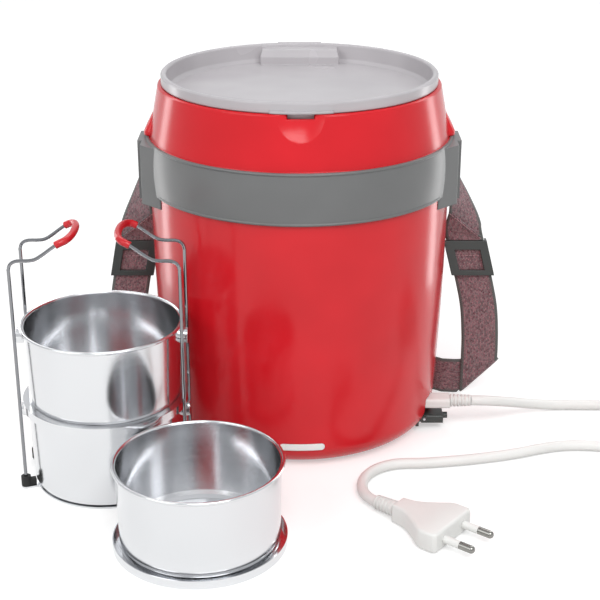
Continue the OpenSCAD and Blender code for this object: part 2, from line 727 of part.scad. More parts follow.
pan_flange = 0.6;
module lid_insulation() color([0.93, 0.88, 0.7])
    translate([0, 0, pan_floor + 1.8]) cylinder(r = pan_r - 1, h = pan_depth - 2.8);
module lid_liner() color(steel) difference() {
    lathe([[0, panel_z - pan_depth], [pan_r - 2, panel_z - pan_depth],
        [pan_r, panel_z - pan_depth + 2], [pan_r, panel_z - fix - pan_flange],
        [pan_r + 8, panel_z - fix - pan_flange], [pan_r + 8, panel_z - fix], [0, panel_z - fix]]);
    lathe([[0, pan_floor], [pan_r - 2.4, pan_floor], [pan_r - 0.8, pan_floor + 1.6],
        [pan_r - 0.8, panel_z + 1], [0, panel_z + 1]]);
    for (a = [60, 180, 300]) rotate(a) translate([lid_screw_ring, 0, panel_z - 2])
        cylinder(r = 1.5, h = 3);
}
module lid_gasket() color([0.9, 0.9, 0.88]) difference() {
    translate([0, 0, gasket_z]) cylinder(r = flange_r - 2, h = panel_z - gasket_z - 0.05);
    translate([0, 0, gasket_z - 1]) cylinder(r = pan_r + 9, h = 6);
}
lid_screw_z = panel_z - fix - pan_flange;
module lid_screws() color(steel) for (a = [60, 180, 300]) rotate(a)
    translate([lid_screw_ring, 0, 0]) {
        translate([0, 0, lid_screw_z - 1.15]) cylinder(r = 2.3, h = 1.1);
        translate([0, 0, lid_screw_z - 1.15]) cylinder(r = 1.2, h = 2.8);
    }

// Webbing: each station holds a centre and the direction of its width
bar_turn = bar_d / 2 + strap_t / 2 + 0.15;
half_w = strap_w / 2;
strap_low = half_w + 0.4;
fold_out = 22.5;
slider_y = strap_y + 1;
slider_z = bar_z - 69;
slider_tilt = 14.3;
function flare(s, x) = s > 0 ? x : 0.75 * x;
function strap_front(s) = let (b = bar_x + bar_turn) [
    [[bar_x - bar_turn, strap_y, bar_z - 7], [0, 1, 0]],
    [[bar_x - bar_turn, strap_y, bar_z], [0, 1, 0]],
    [[bar_x - 0.7 * bar_turn, strap_y, bar_z + 0.7 * bar_turn], [0, 1, 0]],
    [[bar_x, strap_y, bar_z + bar_turn], [0, 1, 0]],
    [[bar_x + 0.7 * bar_turn, strap_y, bar_z + 0.7 * bar_turn], [0, 1, 0]],
    [[b, strap_y, bar_z], [0, 1, 0]],
    [[b + 0.4, strap_y, bar_z - 10], [0.15, 0.99, 0]],
    [[b + 1.4, strap_y, bar_z - 18], [0.35, 0.94, 0]],
    [[b + flare(s, 4.5), strap_y + 0.4, bar_z - 28], [0.55, 0.83, 0]],
    [[b + flare(s, 7.2), strap_y + 0.7, bar_z - 39], [0.8, 0.6, 0]],
    [[b + flare(s, 8), slider_y - 0.2, bar_z - 46], [0.96, 0.28, 0]],
    [[b + flare(s, 8.4), slider_y, slider_z + 17], [1, 0, 0]],
    [[b + flare(s, 17), slider_y, slider_z - 17], [1, 0, 0]],
    [[b + flare(s, 20.5), slider_y, slider_z - 34], [1, 0, 0]],
    [[b + flare(s, 22), slider_y, slider_z - 50], [1, 0, 0]],
    [[b + flare(s, fold_out), slider_y, slider_z - 63], [1, 0, 0]],
    [[b + flare(s, fold_out), slider_y, strap_low + 1.8], [1, 0, 1]]];
module strap_side(s) mirror([s < 0 ? 1 : 0, 0, 0])
    ribbon([for (q = strap_front(s)) q[0]],
        [for (q = strap_front(s)) half_w * (norm(q[1]) > 1.2 ? q[1] : unit(q[1]))], strap_t);
module strap_right() color(webbing) strap_side(1);
module strap_left() color(webbing) strap_side(-1);

back_r = max(lower_r(2 * strap_low), base_r) + strap_t / 2 + 0.3;
back_y = slider_y + strap_t + 0.2;
back_steps = 24;
function fold_x(s) = bar_x + bar_turn + flare(s, fold_out);
function back_side(s) = let (x = fold_x(s) - half_w - 2.5) [
    [s * (x + 1), back_y], [s * (x - 2), back_y],
    [s * (back_r + 7), back_y + 0.9], [s * (back_r + 2), back_y + 4.4]];
function back_line() = let (l = back_side(-1)) concat(back_side(1),
    [for (i = [0:back_steps]) let (a = 22 + 136 * i / back_steps) back_r * [cos(a), sin(a)]],
    [for (i = [3:-1:0]) l[i]]);
// A strip of constant thickness along points of a plan
module strip(p, t) {
    n = [for (i = [0:len(p) - 1]) let (d = tangent(p, i)) [d[1], -d[0]] * t / 2];
    polygon(concat([for (i = [0:len(p) - 1]) p[i] + n[i]],
        [for (i = [len(p) - 1:-1:0]) p[i] - n[i]]));
}
module strap_back() color(webbing) {
    low = strap_low - half_w;
    translate([0, 0, low]) linear_extrude(strap_w) strip(back_line(), strap_t);
    for (s = [-1, 1]) mirror([s < 0 ? 1 : 0, 0, 0])
        translate([0, back_y + strap_t / 2, low]) rotate([90, 0, 0]) linear_extrude(strap_t)
            polygon([[fold_x(s) - half_w - 2.5, 0], [fold_x(s) - half_w, 1.8],
                [fold_x(s) + half_w, strap_w + 1.8], [fold_x(s) - half_w - 2.5, strap_w]]);
}

// Sliders that set the length of the strap, slanted like the webbing that runs through them
slider_play = 0.4;
slider_side = 1.3;
slider_w = strap_w + 2 * (slider_play + slider_side);
slider_h = 23.6;
slider_up = 1;
slider_bar = 1.7;
slider_out = 12.45;
frame_side = 5.6;
frame_low = 3.4;
frame_top = 6.1;
bar_gap = strap_t / 2 + 0.2;
// A slanted bar in the plane of the webbing, from depth y0 to y1
module slanted(k, x0, x1, z0, z1, y0, y1) {
    translate([0, y1, 0]) rotate([90, 0, 0]) linear_extrude(y1 - y0)
        polygon([[x0 - k * z0, z0], [x1 - k * z0, z0], [x1 - k * z1, z1], [x0 - k * z1, z1]]);
}
module slider(s) mirror([s < 0 ? 1 : 0, 0, 0])
    translate([bar_x + bar_turn + flare(s, slider_out), slider_y, slider_z + slider_up]) {
        k = flare(s, tan(slider_tilt));
        w = slider_w / 2;
        h = slider_h / 2;
        difference() {
            slanted(k, -w, w, -h, h, -bar_gap - slider_bar, -bar_gap);
            slanted(k, frame_side - w, w - frame_side, frame_low - h, h - frame_top,
                -bar_gap - slider_bar - e, 0);
        }
        slanted(k, -w, w, -2, 2, bar_gap, bar_gap + slider_bar);
        for (x = [-w, w - slider_side])
            slanted(k, x, x + slider_side, -h, h, -bar_gap - slider_bar, bar_gap + slider_bar);
    }
module slider_right() color(dark_grey) slider(1);
module slider_left() color(dark_grey) slider(-1);

// Connector of the cord
nose_x = socket_back + 2 + run;
contact_x = nose_x + 1.5;
contact_l = nose_l - 5;
module connector() color(white) difference() {
    translate([0, -inlet_y, inlet_z])
        round_bar(nose_x, connector_end, connector_w, connector_h, 1.8);
    for (s = [-1, 1]) translate([0, -inlet_y + s * pin_gap / 2, inlet_z]) rotate([0, 90, 0]) {
        cylinder(r = inlet_pin_d / 2 + 0.3, h = contact_x + e);
        translate([0, 0, contact_x]) cylinder(r = contact_r + fix, h = contact_l + fix);
    }
}
module connector_contacts() color([0.8, 0.7, 0.4])
    for (s = [-1, 1]) translate([contact_x, -inlet_y + s * pin_gap / 2, inlet_z])
        rotate([0, 90, 0]) difference() {
            cylinder(r = contact_r, h = contact_l);
            translate([0, 0, -1]) cylinder(r = inlet_pin_d / 2 + 0.06, h = contact_l + 2);
        }
// A tapered relief with ribs, along +Z
module ribbed_relief(l, r0, r1, ribs, rib) {
    rotate_extrude() polygon([[0, 0], [r0, 0], [r1, l], [0, l]]);
    for (i = [0:ribs - 1]) let (t = (i + 0.5) / ribs)
        translate([0, 0, l * t - l / ribs / 4])
            cylinder(r = r0 + (r1 - r0) * t + rib * (1 - 0.6 * t), h = l / ribs / 2);
}
module connector_relief() color(white) translate([connector_end, -inlet_y, inlet_z])
    rotate([0, 90, 0]) ribbed_relief(relief_l, cord_d / 2 + 0.15, cord_d / 2 + 0.1, 6, 0.75);

// Cord, its coil and its tie
cord_sides = 10;
module cord() color(white) tube(smooth(cord_points, 2), cord_d / 2, cord_sides);
module cord_end() color(white) tube(smooth(end_points, 2), cord_d / 2, cord_sides);
coil_in = coil_mean - coil_columns * cord_d / 2;
coil_out = coil_mean + coil_columns * cord_d / 2;
coil_top = coil_layers * cord_d + 0.1;
module cord_coil() color(white) translate([coil_x, coil_y, 0])
    rotate_extrude() polygon([[coil_in, 0.1], [coil_out, 0.1], [coil_out, coil_top],
        [coil_in, coil_top]]);
tie_t = 1.6;
tie_w = 9;
module coil_tie() color([0.2, 0.2, 0.2]) translate([coil_x + coil_mean, coil_y, 0])
    difference() {
        block([coil_in - coil_mean - fix - tie_t, -tie_w / 2, 0.1],
            [coil_out - coil_mean + fix + tie_t, tie_w / 2, coil_top + fix + tie_t]);
        translate([-coil_mean, 0, 0]) rotate_extrude() polygon([[coil_in - fix, -1],
            [coil_out + fix, -1], [coil_out + fix, coil_top + fix], [coil_in - fix, coil_top + fix]]);
    }

// Plug, in its own frame with the pins along +X
plug_front = plug_back + plug_l * [cos(plug_angle), sin(plug_angle), 0];
pin_stem = 8;
sleeve_l = 10;
stem_r = plug_pin_d / 2 - 0.6;
module at_plug() { translate(plug_front) rotate(plug_angle) children(); }
module plug_relief() color(white) {
    a = end_points[len(end_points) - 1];
    d = plug_back - a;
    translate(a) rotate([0, acos(d[2] / norm(d)), atan2(d[1], d[0])])
        ribbed_relief(norm(d) - 0.05, cord_d / 2 + 0.3, 4.4, 6, 0.7);
}
function plug_side(k) = let (p = [[-plug_l, 5.4], [-plug_l * 0.8, 6.6], [-plug_l * 0.68, 8.6],
    [-plug_l * 0.5, 13], [-plug_l * 0.36, plug_w / 2 - 1.4], [-plug_l * 0.26, plug_w / 2],
    [-2, plug_w / 2], [0, plug_w / 2 - 2]])
    k > 0 ? p : [for (i = [len(p) - 1:-1:0]) [p[i][0], -p[i][1]]];
module plug_body() color(white) at_plug() difference() {
    translate([0, 0, -plug_t / 2]) linear_extrude(plug_t) polygon(concat(plug_side(1),
        plug_side(-1)));
    for (s = [-1, 1]) translate([-pin_stem - fix, s * plug_pin_gap / 2, 0]) rotate([0, 90, 0])
        cylinder(r = stem_r + 0.03, h = pin_stem + 1);
}
module plug_pins() color(steel) at_plug() for (s = [-1, 1])
    translate([0, s * plug_pin_gap / 2, 0]) rotate([0, 90, 0]) {
        translate([0, 0, -pin_stem]) cylinder(r = stem_r, h = pin_stem + sleeve_l + 1);
        translate([0, 0, sleeve_l + 0.05])
            cylinder(d = plug_pin_d, h = plug_pin_l - sleeve_l - plug_pin_d / 2);
        translate([0, 0, plug_pin_l - plug_pin_d / 2]) sphere(d = plug_pin_d);
    }
module plug_sleeves() color(white) at_plug() for (s = [-1, 1])
    translate([0.05, s * plug_pin_gap / 2, 0]) rotate([0, 90, 0]) difference() {
        cylinder(d = plug_pin_d, h = sleeve_l - 0.05);
        translate([0, 0, -1]) cylinder(r = stem_r + 0.03, h = sleeve_l + 2);
    }

// Steel containers and their lids
module can(h) {
    rb = can_bottom_r;
    rt = can_wall_r + 0.2;
    w = can_wall;
    lathe([[0, 0], [rb - can_edge, 0], [rb - 0.3 * can_edge, 0.3 * can_edge], [rb, can_edge],
        [rt, h - roll_r], [rt - w, h - roll_r], [rb - w, can_edge],
        [rb - w - 0.3 * can_edge, 0.3 * can_edge + w], [rb - can_edge - w / 2, w], [0, w]]);
    translate([0, 0, h - roll_r]) rotate_extrude() translate([can_r - roll_r, 0])
        circle(r = roll_r, $fn = 24);
}
can_lug_r = 4.6;
can_lug_l = 4.6;
module can_with_lugs(h) {
    can(h);
    for (s = [-1, 1]) translate([s * (can_wall_r + can_lug_l / 2 - 0.4), 0,
        h - lid_skirt - can_lug_r - 0.6]) rotate([0, 90, 0])
            cylinder(r = can_lug_r, h = can_lug_l, center = true);
}
module can_cover() {
    rn = nest_r;
    lathe([[0, -nest], [rn + lid_sheet, -nest], [rn + lid_sheet, 0], [lid_in, 0],
        [lid_in, -lid_skirt], [lid_out, -lid_skirt], [lid_out, lid_sheet], [rn, lid_sheet],
        [rn, lid_sheet - nest], [0, lid_sheet - nest]]);
}
module at_rack(z) { translate([rack_x, rack_y, z]) children(); }
module container_low() color(steel) at_rack(can_low_z) can_with_lugs(can_low_h);
module container_lid() color(steel) at_rack(can_lid_z) can_cover();
module container_up() color(steel) at_rack(can_up_z) can_with_lugs(can_up_h);
module container_front() color(steel) translate([front_x, front_y, can_front_z]) can(can_front_h);
module front_lid() color(steel) translate([front_x, front_y, front_lid_z]) rotate([180, 0, 0])
    can_cover();

// Rack that carries two containers
module rack_base() color(steel) at_rack(rest_z) {
    cylinder(r = can_bottom_r - 1, h = rack_plate - rest_z);
    for (x = [-1, 1], y = [-1, 1]) hull() {
        translate([x * wire_x, y * wire_y, 0]) cylinder(r = foot_r, h = rack_plate - rest_z, $fn = 32);
        translate([x * wire_x * 0.7, y * wire_y * 0.7, 0])
            cylinder(r = foot_r, h = rack_plate - rest_z, $fn = 32);
    }
}
foot_h = 6;
module rack_feet() color(dark_grey) at_rack(wire_foot) for (x = [-1, 1], y = [-1, 1])
    translate([x * wire_x, y * wire_y, 0]) difference() {
        union() {
            cylinder(r = foot_r, h = foot_h);
            rotate(atan2(-y * wire_y, -x * wire_x)) block([0, -1.6, 0], [5.8, 1.6, foot_h - 2]);
        }
        translate([0, 0, -1]) cylinder(r = wire_r + 0.05, h = foot_h + 2);
    }
arm_x = wire_x - 11.5;
wire_half = [[wire_x, -wire_y, wire_foot], [wire_x, -wire_y, wire_top / 2],
    [wire_x, -wire_y, wire_top - 12], [wire_x, -wire_y, wire_top - 5],
    [wire_x - 1.5, -wire_y, wire_top - 1.5], [wire_x - 5, -wire_y, wire_top],
    [arm_x, -wire_y, wire_top + 0.2], [arm_x - 5, -wire_y, wire_top + 1.8],
    [grip_x + 8, -wire_y, wire_top + 0.75 * grip_rise],
    [grip_x + 3, -wire_y + 2, wire_top + 0.92 * grip_rise],
    [grip_x + 0.6, -wire_y / 2, wire_top + 0.98 * grip_rise]];
wire_line = concat(wire_half, [[grip_x, 0, wire_top + grip_rise]],
    [for (i = [len(wire_half) - 1:-1:0]) [wire_half[i][0], -wire_half[i][1], wire_half[i][2]]]);
wire_k = 3;
wire_sides = 10;
grip_from = 8;
function wire_path() = smooth(wire_line, wire_k);
function grip_path() = let (p = wire_path())
    [for (i = [grip_from * wire_k:(len(wire_line) - 1 - grip_from) * wire_k]) p[i]];
function grip_bore() = let (p = wire_path())
    [for (i = [grip_from * wire_k - 1:(len(wire_line) - 1 - grip_from) * wire_k + 1]) p[i]];
module wire() { tube(wire_path(), wire_r, wire_sides); }
module grip() difference() {
    tube(grip_path(), grip_r, 16);
    tube(grip_bore(), wire_r + 0.25, wire_sides);
}
module rack_wire_right() color(steel) at_rack(0) wire();
module rack_wire_left() color(steel) at_rack(0) mirror([1, 0, 0]) wire();
module grip_right() color(red) at_rack(0) grip();
module grip_left() color(red) at_rack(0) mirror([1, 0, 0]) grip();

outer_shell();
upper_shell();
band();
strap_bars();
collar();
inner_liner();
insulation();
heater_plate();
heating_element();
element_clamp();
heat_shield();
shield_screws();
thermostat();
thermal_fuse();
indicator_lamp();
indicator_lens();
inlet_socket();
inlet_pins();
wiring();
base_cover();
base_screws();
foot_pad();
hinge_pin();
cover_pin();
lid_shell();
lid_insulation();
lid_liner();
lid_gasket();
lid_screws();
inlet_cover();
strap_right();
strap_left();
strap_back();
slider_right();
slider_left();
connector();
connector_contacts();
connector_relief();
cord();
cord_coil();
coil_tie();
cord_end();
plug_relief();
plug_body();
plug_pins();
plug_sleeves();
rack_base();
rack_feet();
rack_wire_left();
rack_wire_right();
grip_left();
grip_right();
container_low();
container_lid();
container_up();
container_front();
front_lid();
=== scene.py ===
# %% [markdown]
# # An electric lunch box, dressed for its picture
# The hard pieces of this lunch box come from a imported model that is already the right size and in
# the right place. This lesson gives them their surfaces, and makes the pieces that a hard model
# can't show well: the woven strap, the cord and the stitches. Everything is in metres, and every
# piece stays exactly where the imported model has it.

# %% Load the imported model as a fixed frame
import math

import bmesh
import bpy
from mathutils import Matrix, Vector


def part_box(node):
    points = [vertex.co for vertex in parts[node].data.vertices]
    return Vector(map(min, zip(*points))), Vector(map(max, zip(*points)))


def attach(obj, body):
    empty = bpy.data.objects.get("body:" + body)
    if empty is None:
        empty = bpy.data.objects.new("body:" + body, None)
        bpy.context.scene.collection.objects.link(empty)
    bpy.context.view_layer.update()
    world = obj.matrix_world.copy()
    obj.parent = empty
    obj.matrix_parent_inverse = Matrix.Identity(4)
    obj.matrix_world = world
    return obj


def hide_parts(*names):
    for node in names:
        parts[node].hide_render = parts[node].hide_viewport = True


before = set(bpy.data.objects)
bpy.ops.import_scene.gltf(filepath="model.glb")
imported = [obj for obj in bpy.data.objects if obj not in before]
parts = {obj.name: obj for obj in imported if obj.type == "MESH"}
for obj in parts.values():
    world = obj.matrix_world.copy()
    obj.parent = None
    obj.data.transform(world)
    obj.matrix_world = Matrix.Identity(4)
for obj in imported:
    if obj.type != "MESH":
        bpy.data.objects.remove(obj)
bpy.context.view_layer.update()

# %% [markdown]
# ## The camera
# A product picture is taken from a little above with a long lens, so that round things keep their
# shape. Here the camera is 0.8 m in front and 0.4 m up, and looks 22 degrees down.

# %% Camera
LOOKS_DOWN = 0.3838
camera = bpy.data.objects.new("camera", bpy.data.cameras.new("camera"))
camera.location = (0.0003, -0.800, 0.3975)
camera.rotation_euler = (math.pi / 2 - LOOKS_DOWN, 0, 0)
camera.data.lens = 81.6
camera.data.sensor_width = 36
bpy.context.scene.collection.objects.link(camera)
bpy.context.scene.camera = camera
print("camera looks down by", round(math.degrees(LOOKS_DOWN), 1), "degrees")

# %% [markdown]
# ## The mains cord
# The cord is a round PVC cable, 6.4 mm thick and about 1.3 m long. It leaves the relief of its
# connector, sinks to the table, and is wound up beside the lunch box before it comes back to the
# plug. A curve with a round bevel keeps the thickness the same everywhere, which a lofted mesh
# would only do with more work, and it is turned into a mesh when it is done. The route is a list
# of points that a Catmull-Rom curve rounds off.

# %% A smooth line through points
MM = 0.001
CORD = 6.4 * MM


def smooth_line(points, steps):
    """Catmull-Rom points through the given ones, each of them kept."""
    out = []
    for i in range(len(points) - 1):
        a, b = points[max(i - 1, 0)], points[i]
        c, d = points[i + 1], points[min(i + 2, len(points) - 1)]
        for k in range(steps):
            s = k / steps
            out.append(tuple(
                0.5 * (2 * q + (r - p) * s + (2 * p - 5 * q + 4 * r - t) * s * s
                       + (3 * q - p - 3 * r + t) * s ** 3)
                for p, q, r, t in zip(a, b, c, d)))
    out.append(tuple(points[-1]))
    return out


# %% The route before the coil, in millimetres
FROM_RELIEF = 107.9
INLET_Y, INLET_Z = -28, 17.5
ON_TABLE = 3.3
DRIFT = 22


def sway(i):
    """Point i of the first 64 mm, where the cord drifts back and sinks to the table."""
    s = (1 - math.cos(math.pi * i / 8)) / 2
    return (FROM_RELIEF + 8 * i, DRIFT * s + INLET_Y, INLET_Z - (INLET_Z - ON_TABLE) * s)


lead_out = [sway(i) for i in range(9)]
lead_out += [(FROM_RELIEF + 64 + 9 * i, INLET_Y + DRIFT - 0.04 * i * i, ON_TABLE)
             for i in range(1, 8)]
lead_out = [Vector(p) * MM for p in lead_out]
print("lead out ends at", [round(v, 3) for v in lead_out[-1]])

# %% The route from the coil to the plug
lead_back = [(209, -72.5), (197, -67.5), (184, -63), (171, -61.5), (158, -62.5), (146, -66),
             (133, -71), (120, -75), (102, -79.3), (84, -82.4), (73, -83.8), (64.2, -84.1),
             (56.9, -85.1), (50.2, -87.9), (44.4, -92.3), (39.9, -98.1), (37.1, -104.9),
             (36.2, -112.1), (37.1, -119.4), (39.9, -126.1), (43.7, -131.2)]
lead_back = [Vector((x, y, ON_TABLE)) * MM for x, y in lead_back]
# The last 14 mm rise a little, since the relief of the plug is thicker than the cord
for point, z in zip(lead_back[-3:], (3.5, 4.0, 4.6)):
    point.z = z * MM

# %% [markdown]
# ## The coil in the cord
# A hand-wound coil has turns beside and on each other. Its line is one function of the number of
# turns: the first three turns climb an inner column, then the cord steps out and winds down an
# outer one. Each step happens where the turn below has already moved on, so no turn cuts another.

# %% Radius and height for a number of turns
COIL_AT = Vector((238, -45, 0)) * MM
INNER, OUTER = 30.75 * MM, 37.25 * MM
LEAVES_OUT = 2.2 * MM
LAYERS = [ON_TABLE * MM, 9.75 * MM, 16.1 * MM]
FIRST_TURN, PER_TURN, COIL_POINTS = 0.025, 36, 164


def ease(a, b, t, t0, t1):
    """Goes softly from a to b while t goes from t0 to t1."""
    s = min(max((t - t0) / (t1 - t0), 0), 1)
    return a + (b - a) * s * s * (3 - 2 * s)


def coil_point(t):
    """Centre of the cord after t turns, clockwise seen from above."""
    r = ease(OUTER, INNER, t, 0.0, 0.35)
    r = ease(r, OUTER, t, 2.6, 2.95)
    r = ease(r, OUTER + LEAVES_OUT, t, 4.5, 4.62)
    z = ease(LAYERS[0], LAYERS[1], t, 0.7, 1.0)
    z = ease(z, LAYERS[2], t, 1.7, 2.0)
    z = ease(z, LAYERS[1], t, 3.35, 3.6)
    z = ease(z, LAYERS[0], t, 4.3, 4.5)
    a = math.pi / 2 - 2 * math.pi * t
    return COIL_AT + Vector((r * math.cos(a), r * math.sin(a), z))


turns = [coil_point(FIRST_TURN + i / PER_TURN) for i in range(COIL_POINTS)]
route = smooth_line([tuple(p) for p in lead_out], 4)
route += [tuple(p) for p in turns]
route += smooth_line([tuple(p) for p in lead_back], 4)[1:]

# %% The cord itself


def round_cable(name, points, radius):
    """A mesh of a curve with a round section along the points."""
    curve = bpy.data.curves.new(name, "CURVE")
    curve.dimensions = "3D"
    curve.bevel_depth = radius
    curve.bevel_resolution = 4
    curve.use_fill_caps = True
    spline = curve.splines.new("POLY")
    spline.points.add(len(points) - 1)
    for point, place in zip(spline.points, points):
        point.co = (*place, 1)
    rod = bpy.data.objects.new(name + "_line", curve)
    mesh = bpy.data.meshes.new_from_object(rod)
    mesh.shade_smooth()
    bpy.data.objects.remove(rod)
    made = bpy.data.objects.new(name, mesh)
    bpy.context.scene.collection.objects.link(made)
    return made


mains_cord = round_cable("mains_cord", route, CORD / 2)
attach(mains_cord, "cord_set")
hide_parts("cord", "cord_coil", "cord_end")

# %% [markdown]
# ## The plug
# The moulded plug has soft edges all round. Its outline is drawn on one side and mirrored, raised
# to the real thickness, and a bevel of 1.8 mm rounds the edges.

# %% A plate with rounded edges


def rounded_plate(name, outline, thick, soft):
    """A plate with an outline in metres, centred on z, with its long edges rounded."""
    shape = bmesh.new()
    bottom = [shape.verts.new((x, y, -thick / 2)) for x, y in outline]
    face = shape.faces.new(bottom)
    raised = bmesh.ops.extrude_face_region(shape, geom=[face])["geom"]
    bmesh.ops.translate(shape, vec=(0, 0, thick),
                        verts=[g for g in raised if isinstance(g, bmesh.types.BMVert)])
    bmesh.ops.recalc_face_normals(shape, faces=shape.faces)
    flat = [e for e in shape.edges if abs(e.verts[0].co.z - e.verts[1].co.z) < 1e-6]
    bmesh.ops.bevel(shape, geom=flat, offset=soft, segments=4, profile=0.5, affect="EDGES")
    mesh = bpy.data.meshes.new(name)
    shape.to_mesh(mesh)
    shape.free()
    mesh.shade_smooth()
    mesh.set_sharp_from_angle(angle=math.radians(35))
    made = bpy.data.objects.new(name, mesh)
    bpy.context.scene.collection.objects.link(made)
    return made


# %% The outline of the plug, where its relief ends
PLUG_LONG, PLUG_WIDE, PLUG_THICK = 37.0, 37.0, 12.0
PLUG_SOFT = 1.8
PLUG_OVER_TABLE = 0.3
PLUG_RELIEF = 15.5
PLUG_TURN = math.radians(-38.5)
RELIEF_TURN = math.radians(-46)
WIDEST = PLUG_WIDE / 2
half_plug = [(-1, 5.4), (-0.8, 6.6), (-0.68, 8.6), (-0.5, 13), (-0.36, 17.1), (-0.26, WIDEST)]
half_plug = [(x * PLUG_LONG, y) for x, y in half_plug] + [(-2, WIDEST), (0, WIDEST - 2)]
outline = half_plug + [(x, -y) for x, y in reversed(half_plug)]
relief_way = Vector((math.cos(RELIEF_TURN), math.sin(RELIEF_TURN), 0))
plug_end = lead_back[-1] + relief_way * PLUG_RELIEF * MM
plug_front = plug_end + Vector((math.cos(PLUG_TURN), math.sin(PLUG_TURN), 0)) * PLUG_LONG * MM
turned = [(plug_front.x + (x * math.cos(PLUG_TURN) - y * math.sin(PLUG_TURN)) * MM,
           plug_front.y + (x * math.sin(PLUG_TURN) + y * math.cos(PLUG_TURN)) * MM)
          for x, y in outline]
print("plug front at", [round(v, 3) for v in plug_front])

# %% The plug, and what the cord is
plug = rounded_plate("plug_moulding", turned, PLUG_THICK * MM, PLUG_SOFT * MM)
plug.data.transform(Matrix.Translation((0, 0, (PLUG_THICK / 2 + PLUG_OVER_TABLE) * MM)))
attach(plug, "cord_set")
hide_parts("plug_body")

# %% [markdown]
# ## Colours and shader nodes
# Colours are written as sRGB hex values, as a colour picker shows them, and one function turns
# them to the linear numbers that a shader works with. One more function adds a node and links it.

# %% Helpers for materials


def colour(hex_value):
    """Linear RGBA for an sRGB hex value such as #D6313A."""
    channels = [int(hex_value[i:i + 2], 16) / 255 for i in (1, 3, 5)]
    return (*[c / 12.92 if c <= 0.04045 else ((c + 0.055) / 1.055) ** 2.4 for c in channels], 1)


def add(tree, kind, settings=(), links=()):
    """Adds one node. Settings name properties or inputs, links name an input and an output."""
    node = tree.nodes.new(kind)
    for key, value in dict(settings).items():
        if isinstance(key, str) and hasattr(node, key):
            setattr(node, key, value)
        else:
            node.inputs[key].default_value = value
    for key, output in dict(links).items():
        tree.links.new(output, node.inputs[key])
    return node


def new_material(name, settings):
    """A material with its Principled shader set. Returns the material, its tree and shader."""
    made = bpy.data.materials.new(name)
    made.use_nodes = True
    shader = made.node_tree.nodes["Principled BSDF"]
    for key, value in settings.items():
        shader.inputs[key].default_value = value
    return made, made.node_tree, shader


def set_stops(node, stops):
    """Moves the two stops of a colour ramp, each to a place and a linear colour."""
    for element, (place, shade) in zip(node.color_ramp.elements, stops):
        element.position = place
        element.color = shade


# %% [markdown]
# ## Moulded plastics
# The body is glossy ABS. A mould gives it a high polish, but never a perfectly even one: its colour
# and gloss drift a little over a few centimetres, and it has a very fine peel. One noise makes the
# drift and another one the bump. No moulded edge is sharp either: a Bevel node rounds the normals
# within a millimetre of each edge, so that edges catch a line of light. The same function serves
# each moulded piece, with its own colour, gloss and grain, since only these differ on the real
# thing.

# %% A moulded plastic
EDGE = 1.0 * MM
DRIFTS_PER_METRE = 22.0


def moulded(name, shade, dark, rough, grain_mm, grain_depth_mm, shine=0.5, spread=0.04):
    """Moulded plastic: shade and a darker flow colour, gloss, and a grain of a real size."""
    made, tree, shader = new_material(name, {
        "Base Color": colour(shade), "Roughness": rough, "Specular IOR Level": shine})
    place = add(tree, "ShaderNodeTexCoord").outputs["Object"]
    flow = add(tree, "ShaderNodeTexNoise", {"Scale": DRIFTS_PER_METRE, "Detail": 2.0},
               {"Vector": place})
    tint = add(tree, "ShaderNodeValToRGB", links={0: flow.outputs[0]})
    set_stops(tint, [(0.3, colour(dark)), (0.7, colour(shade))])
    tree.links.new(tint.outputs[0], shader.inputs["Base Color"])
    gloss = add(tree, "ShaderNodeMapRange", {"To Min": rough - spread, "To Max": rough + spread},
                {"Value": flow.outputs[0]})
    tree.links.new(gloss.outputs[0], shader.inputs["Roughness"])
    grain = add(tree, "ShaderNodeTexNoise", {"Scale": 1000 / grain_mm, "Detail": 3.0},
                {"Vector": place})
    edges = add(tree, "ShaderNodeBevel", {"samples": 4, "Radius": EDGE})
    skin = add(tree, "ShaderNodeBump", {"Strength": 1.0, "Distance": grain_depth_mm * MM},
               {"Height": grain.outputs[0], "Normal": edges.outputs[0]})
    tree.links.new(skin.outputs[0], shader.inputs["Normal"])
    return made


# ABS polished in the mould: a saturated red whose reflections stay soft
glossy_red_abs = moulded("glossy_red_abs", "#DB1B26", "#D01721", 0.2, 3.0, 0.003, shine=0.36)
# ABS with a satin mould face: the grey band
satin_grey_abs = moulded("satin_grey_abs", "#717272", "#6A6B6B", 0.34, 1.4, 0.01)
# Light grey ABS of the lid, glossier than the band
light_grey_abs = moulded("light_grey_abs", "#BDB9BC", "#B4B0B3", 0.26, 2.4, 0.006)
# Dark nylon of the sliders, the inlet and the base cover: tough, with a slight sheen
dark_nylon = moulded("dark_nylon", "#3C413F", "#353A38", 0.34, 1.0, 0.012)
# Soft white PVC of the cord and its fittings: a dull gloss
white_pvc = moulded("white_pvc", "#EDEDEA", "#E6E6E3", 0.42, 1.2, 0.015)
# Glossy red sleeve over the wire of the handles
red_grip_pvc = moulded("red_grip_pvc", "#CC1420", "#BE0F1A", 0.26, 1.6, 0.006)
print("plastics ready")

# %% [markdown]
# ## The indicator lens and other small finishes
# The lens is milky polycarbonate, which lets light in and spreads it. Rubber, silicone, phenolic
# and foam stay dull. Each of them gets its own colour and a grain of its real size.

# %% Lens, rubber, silicone, phenolic and foam
milky_lens = moulded("milky_polycarbonate", "#F7F6F2", "#F2F1ED", 0.18, 4.0, 0.004)
lens_shader = milky_lens.node_tree.nodes["Principled BSDF"]
lens_shader.inputs["Subsurface Weight"].default_value = 0.3
lens_shader.inputs["Subsurface Scale"].default_value = 2 * MM
# Rubber of the feet, the foot pad and the tie of the coil: black, matt, with a fine mould grain
black_rubber = moulded("black_rubber", "#1F1F1F", "#191919", 0.7, 0.8, 0.03)
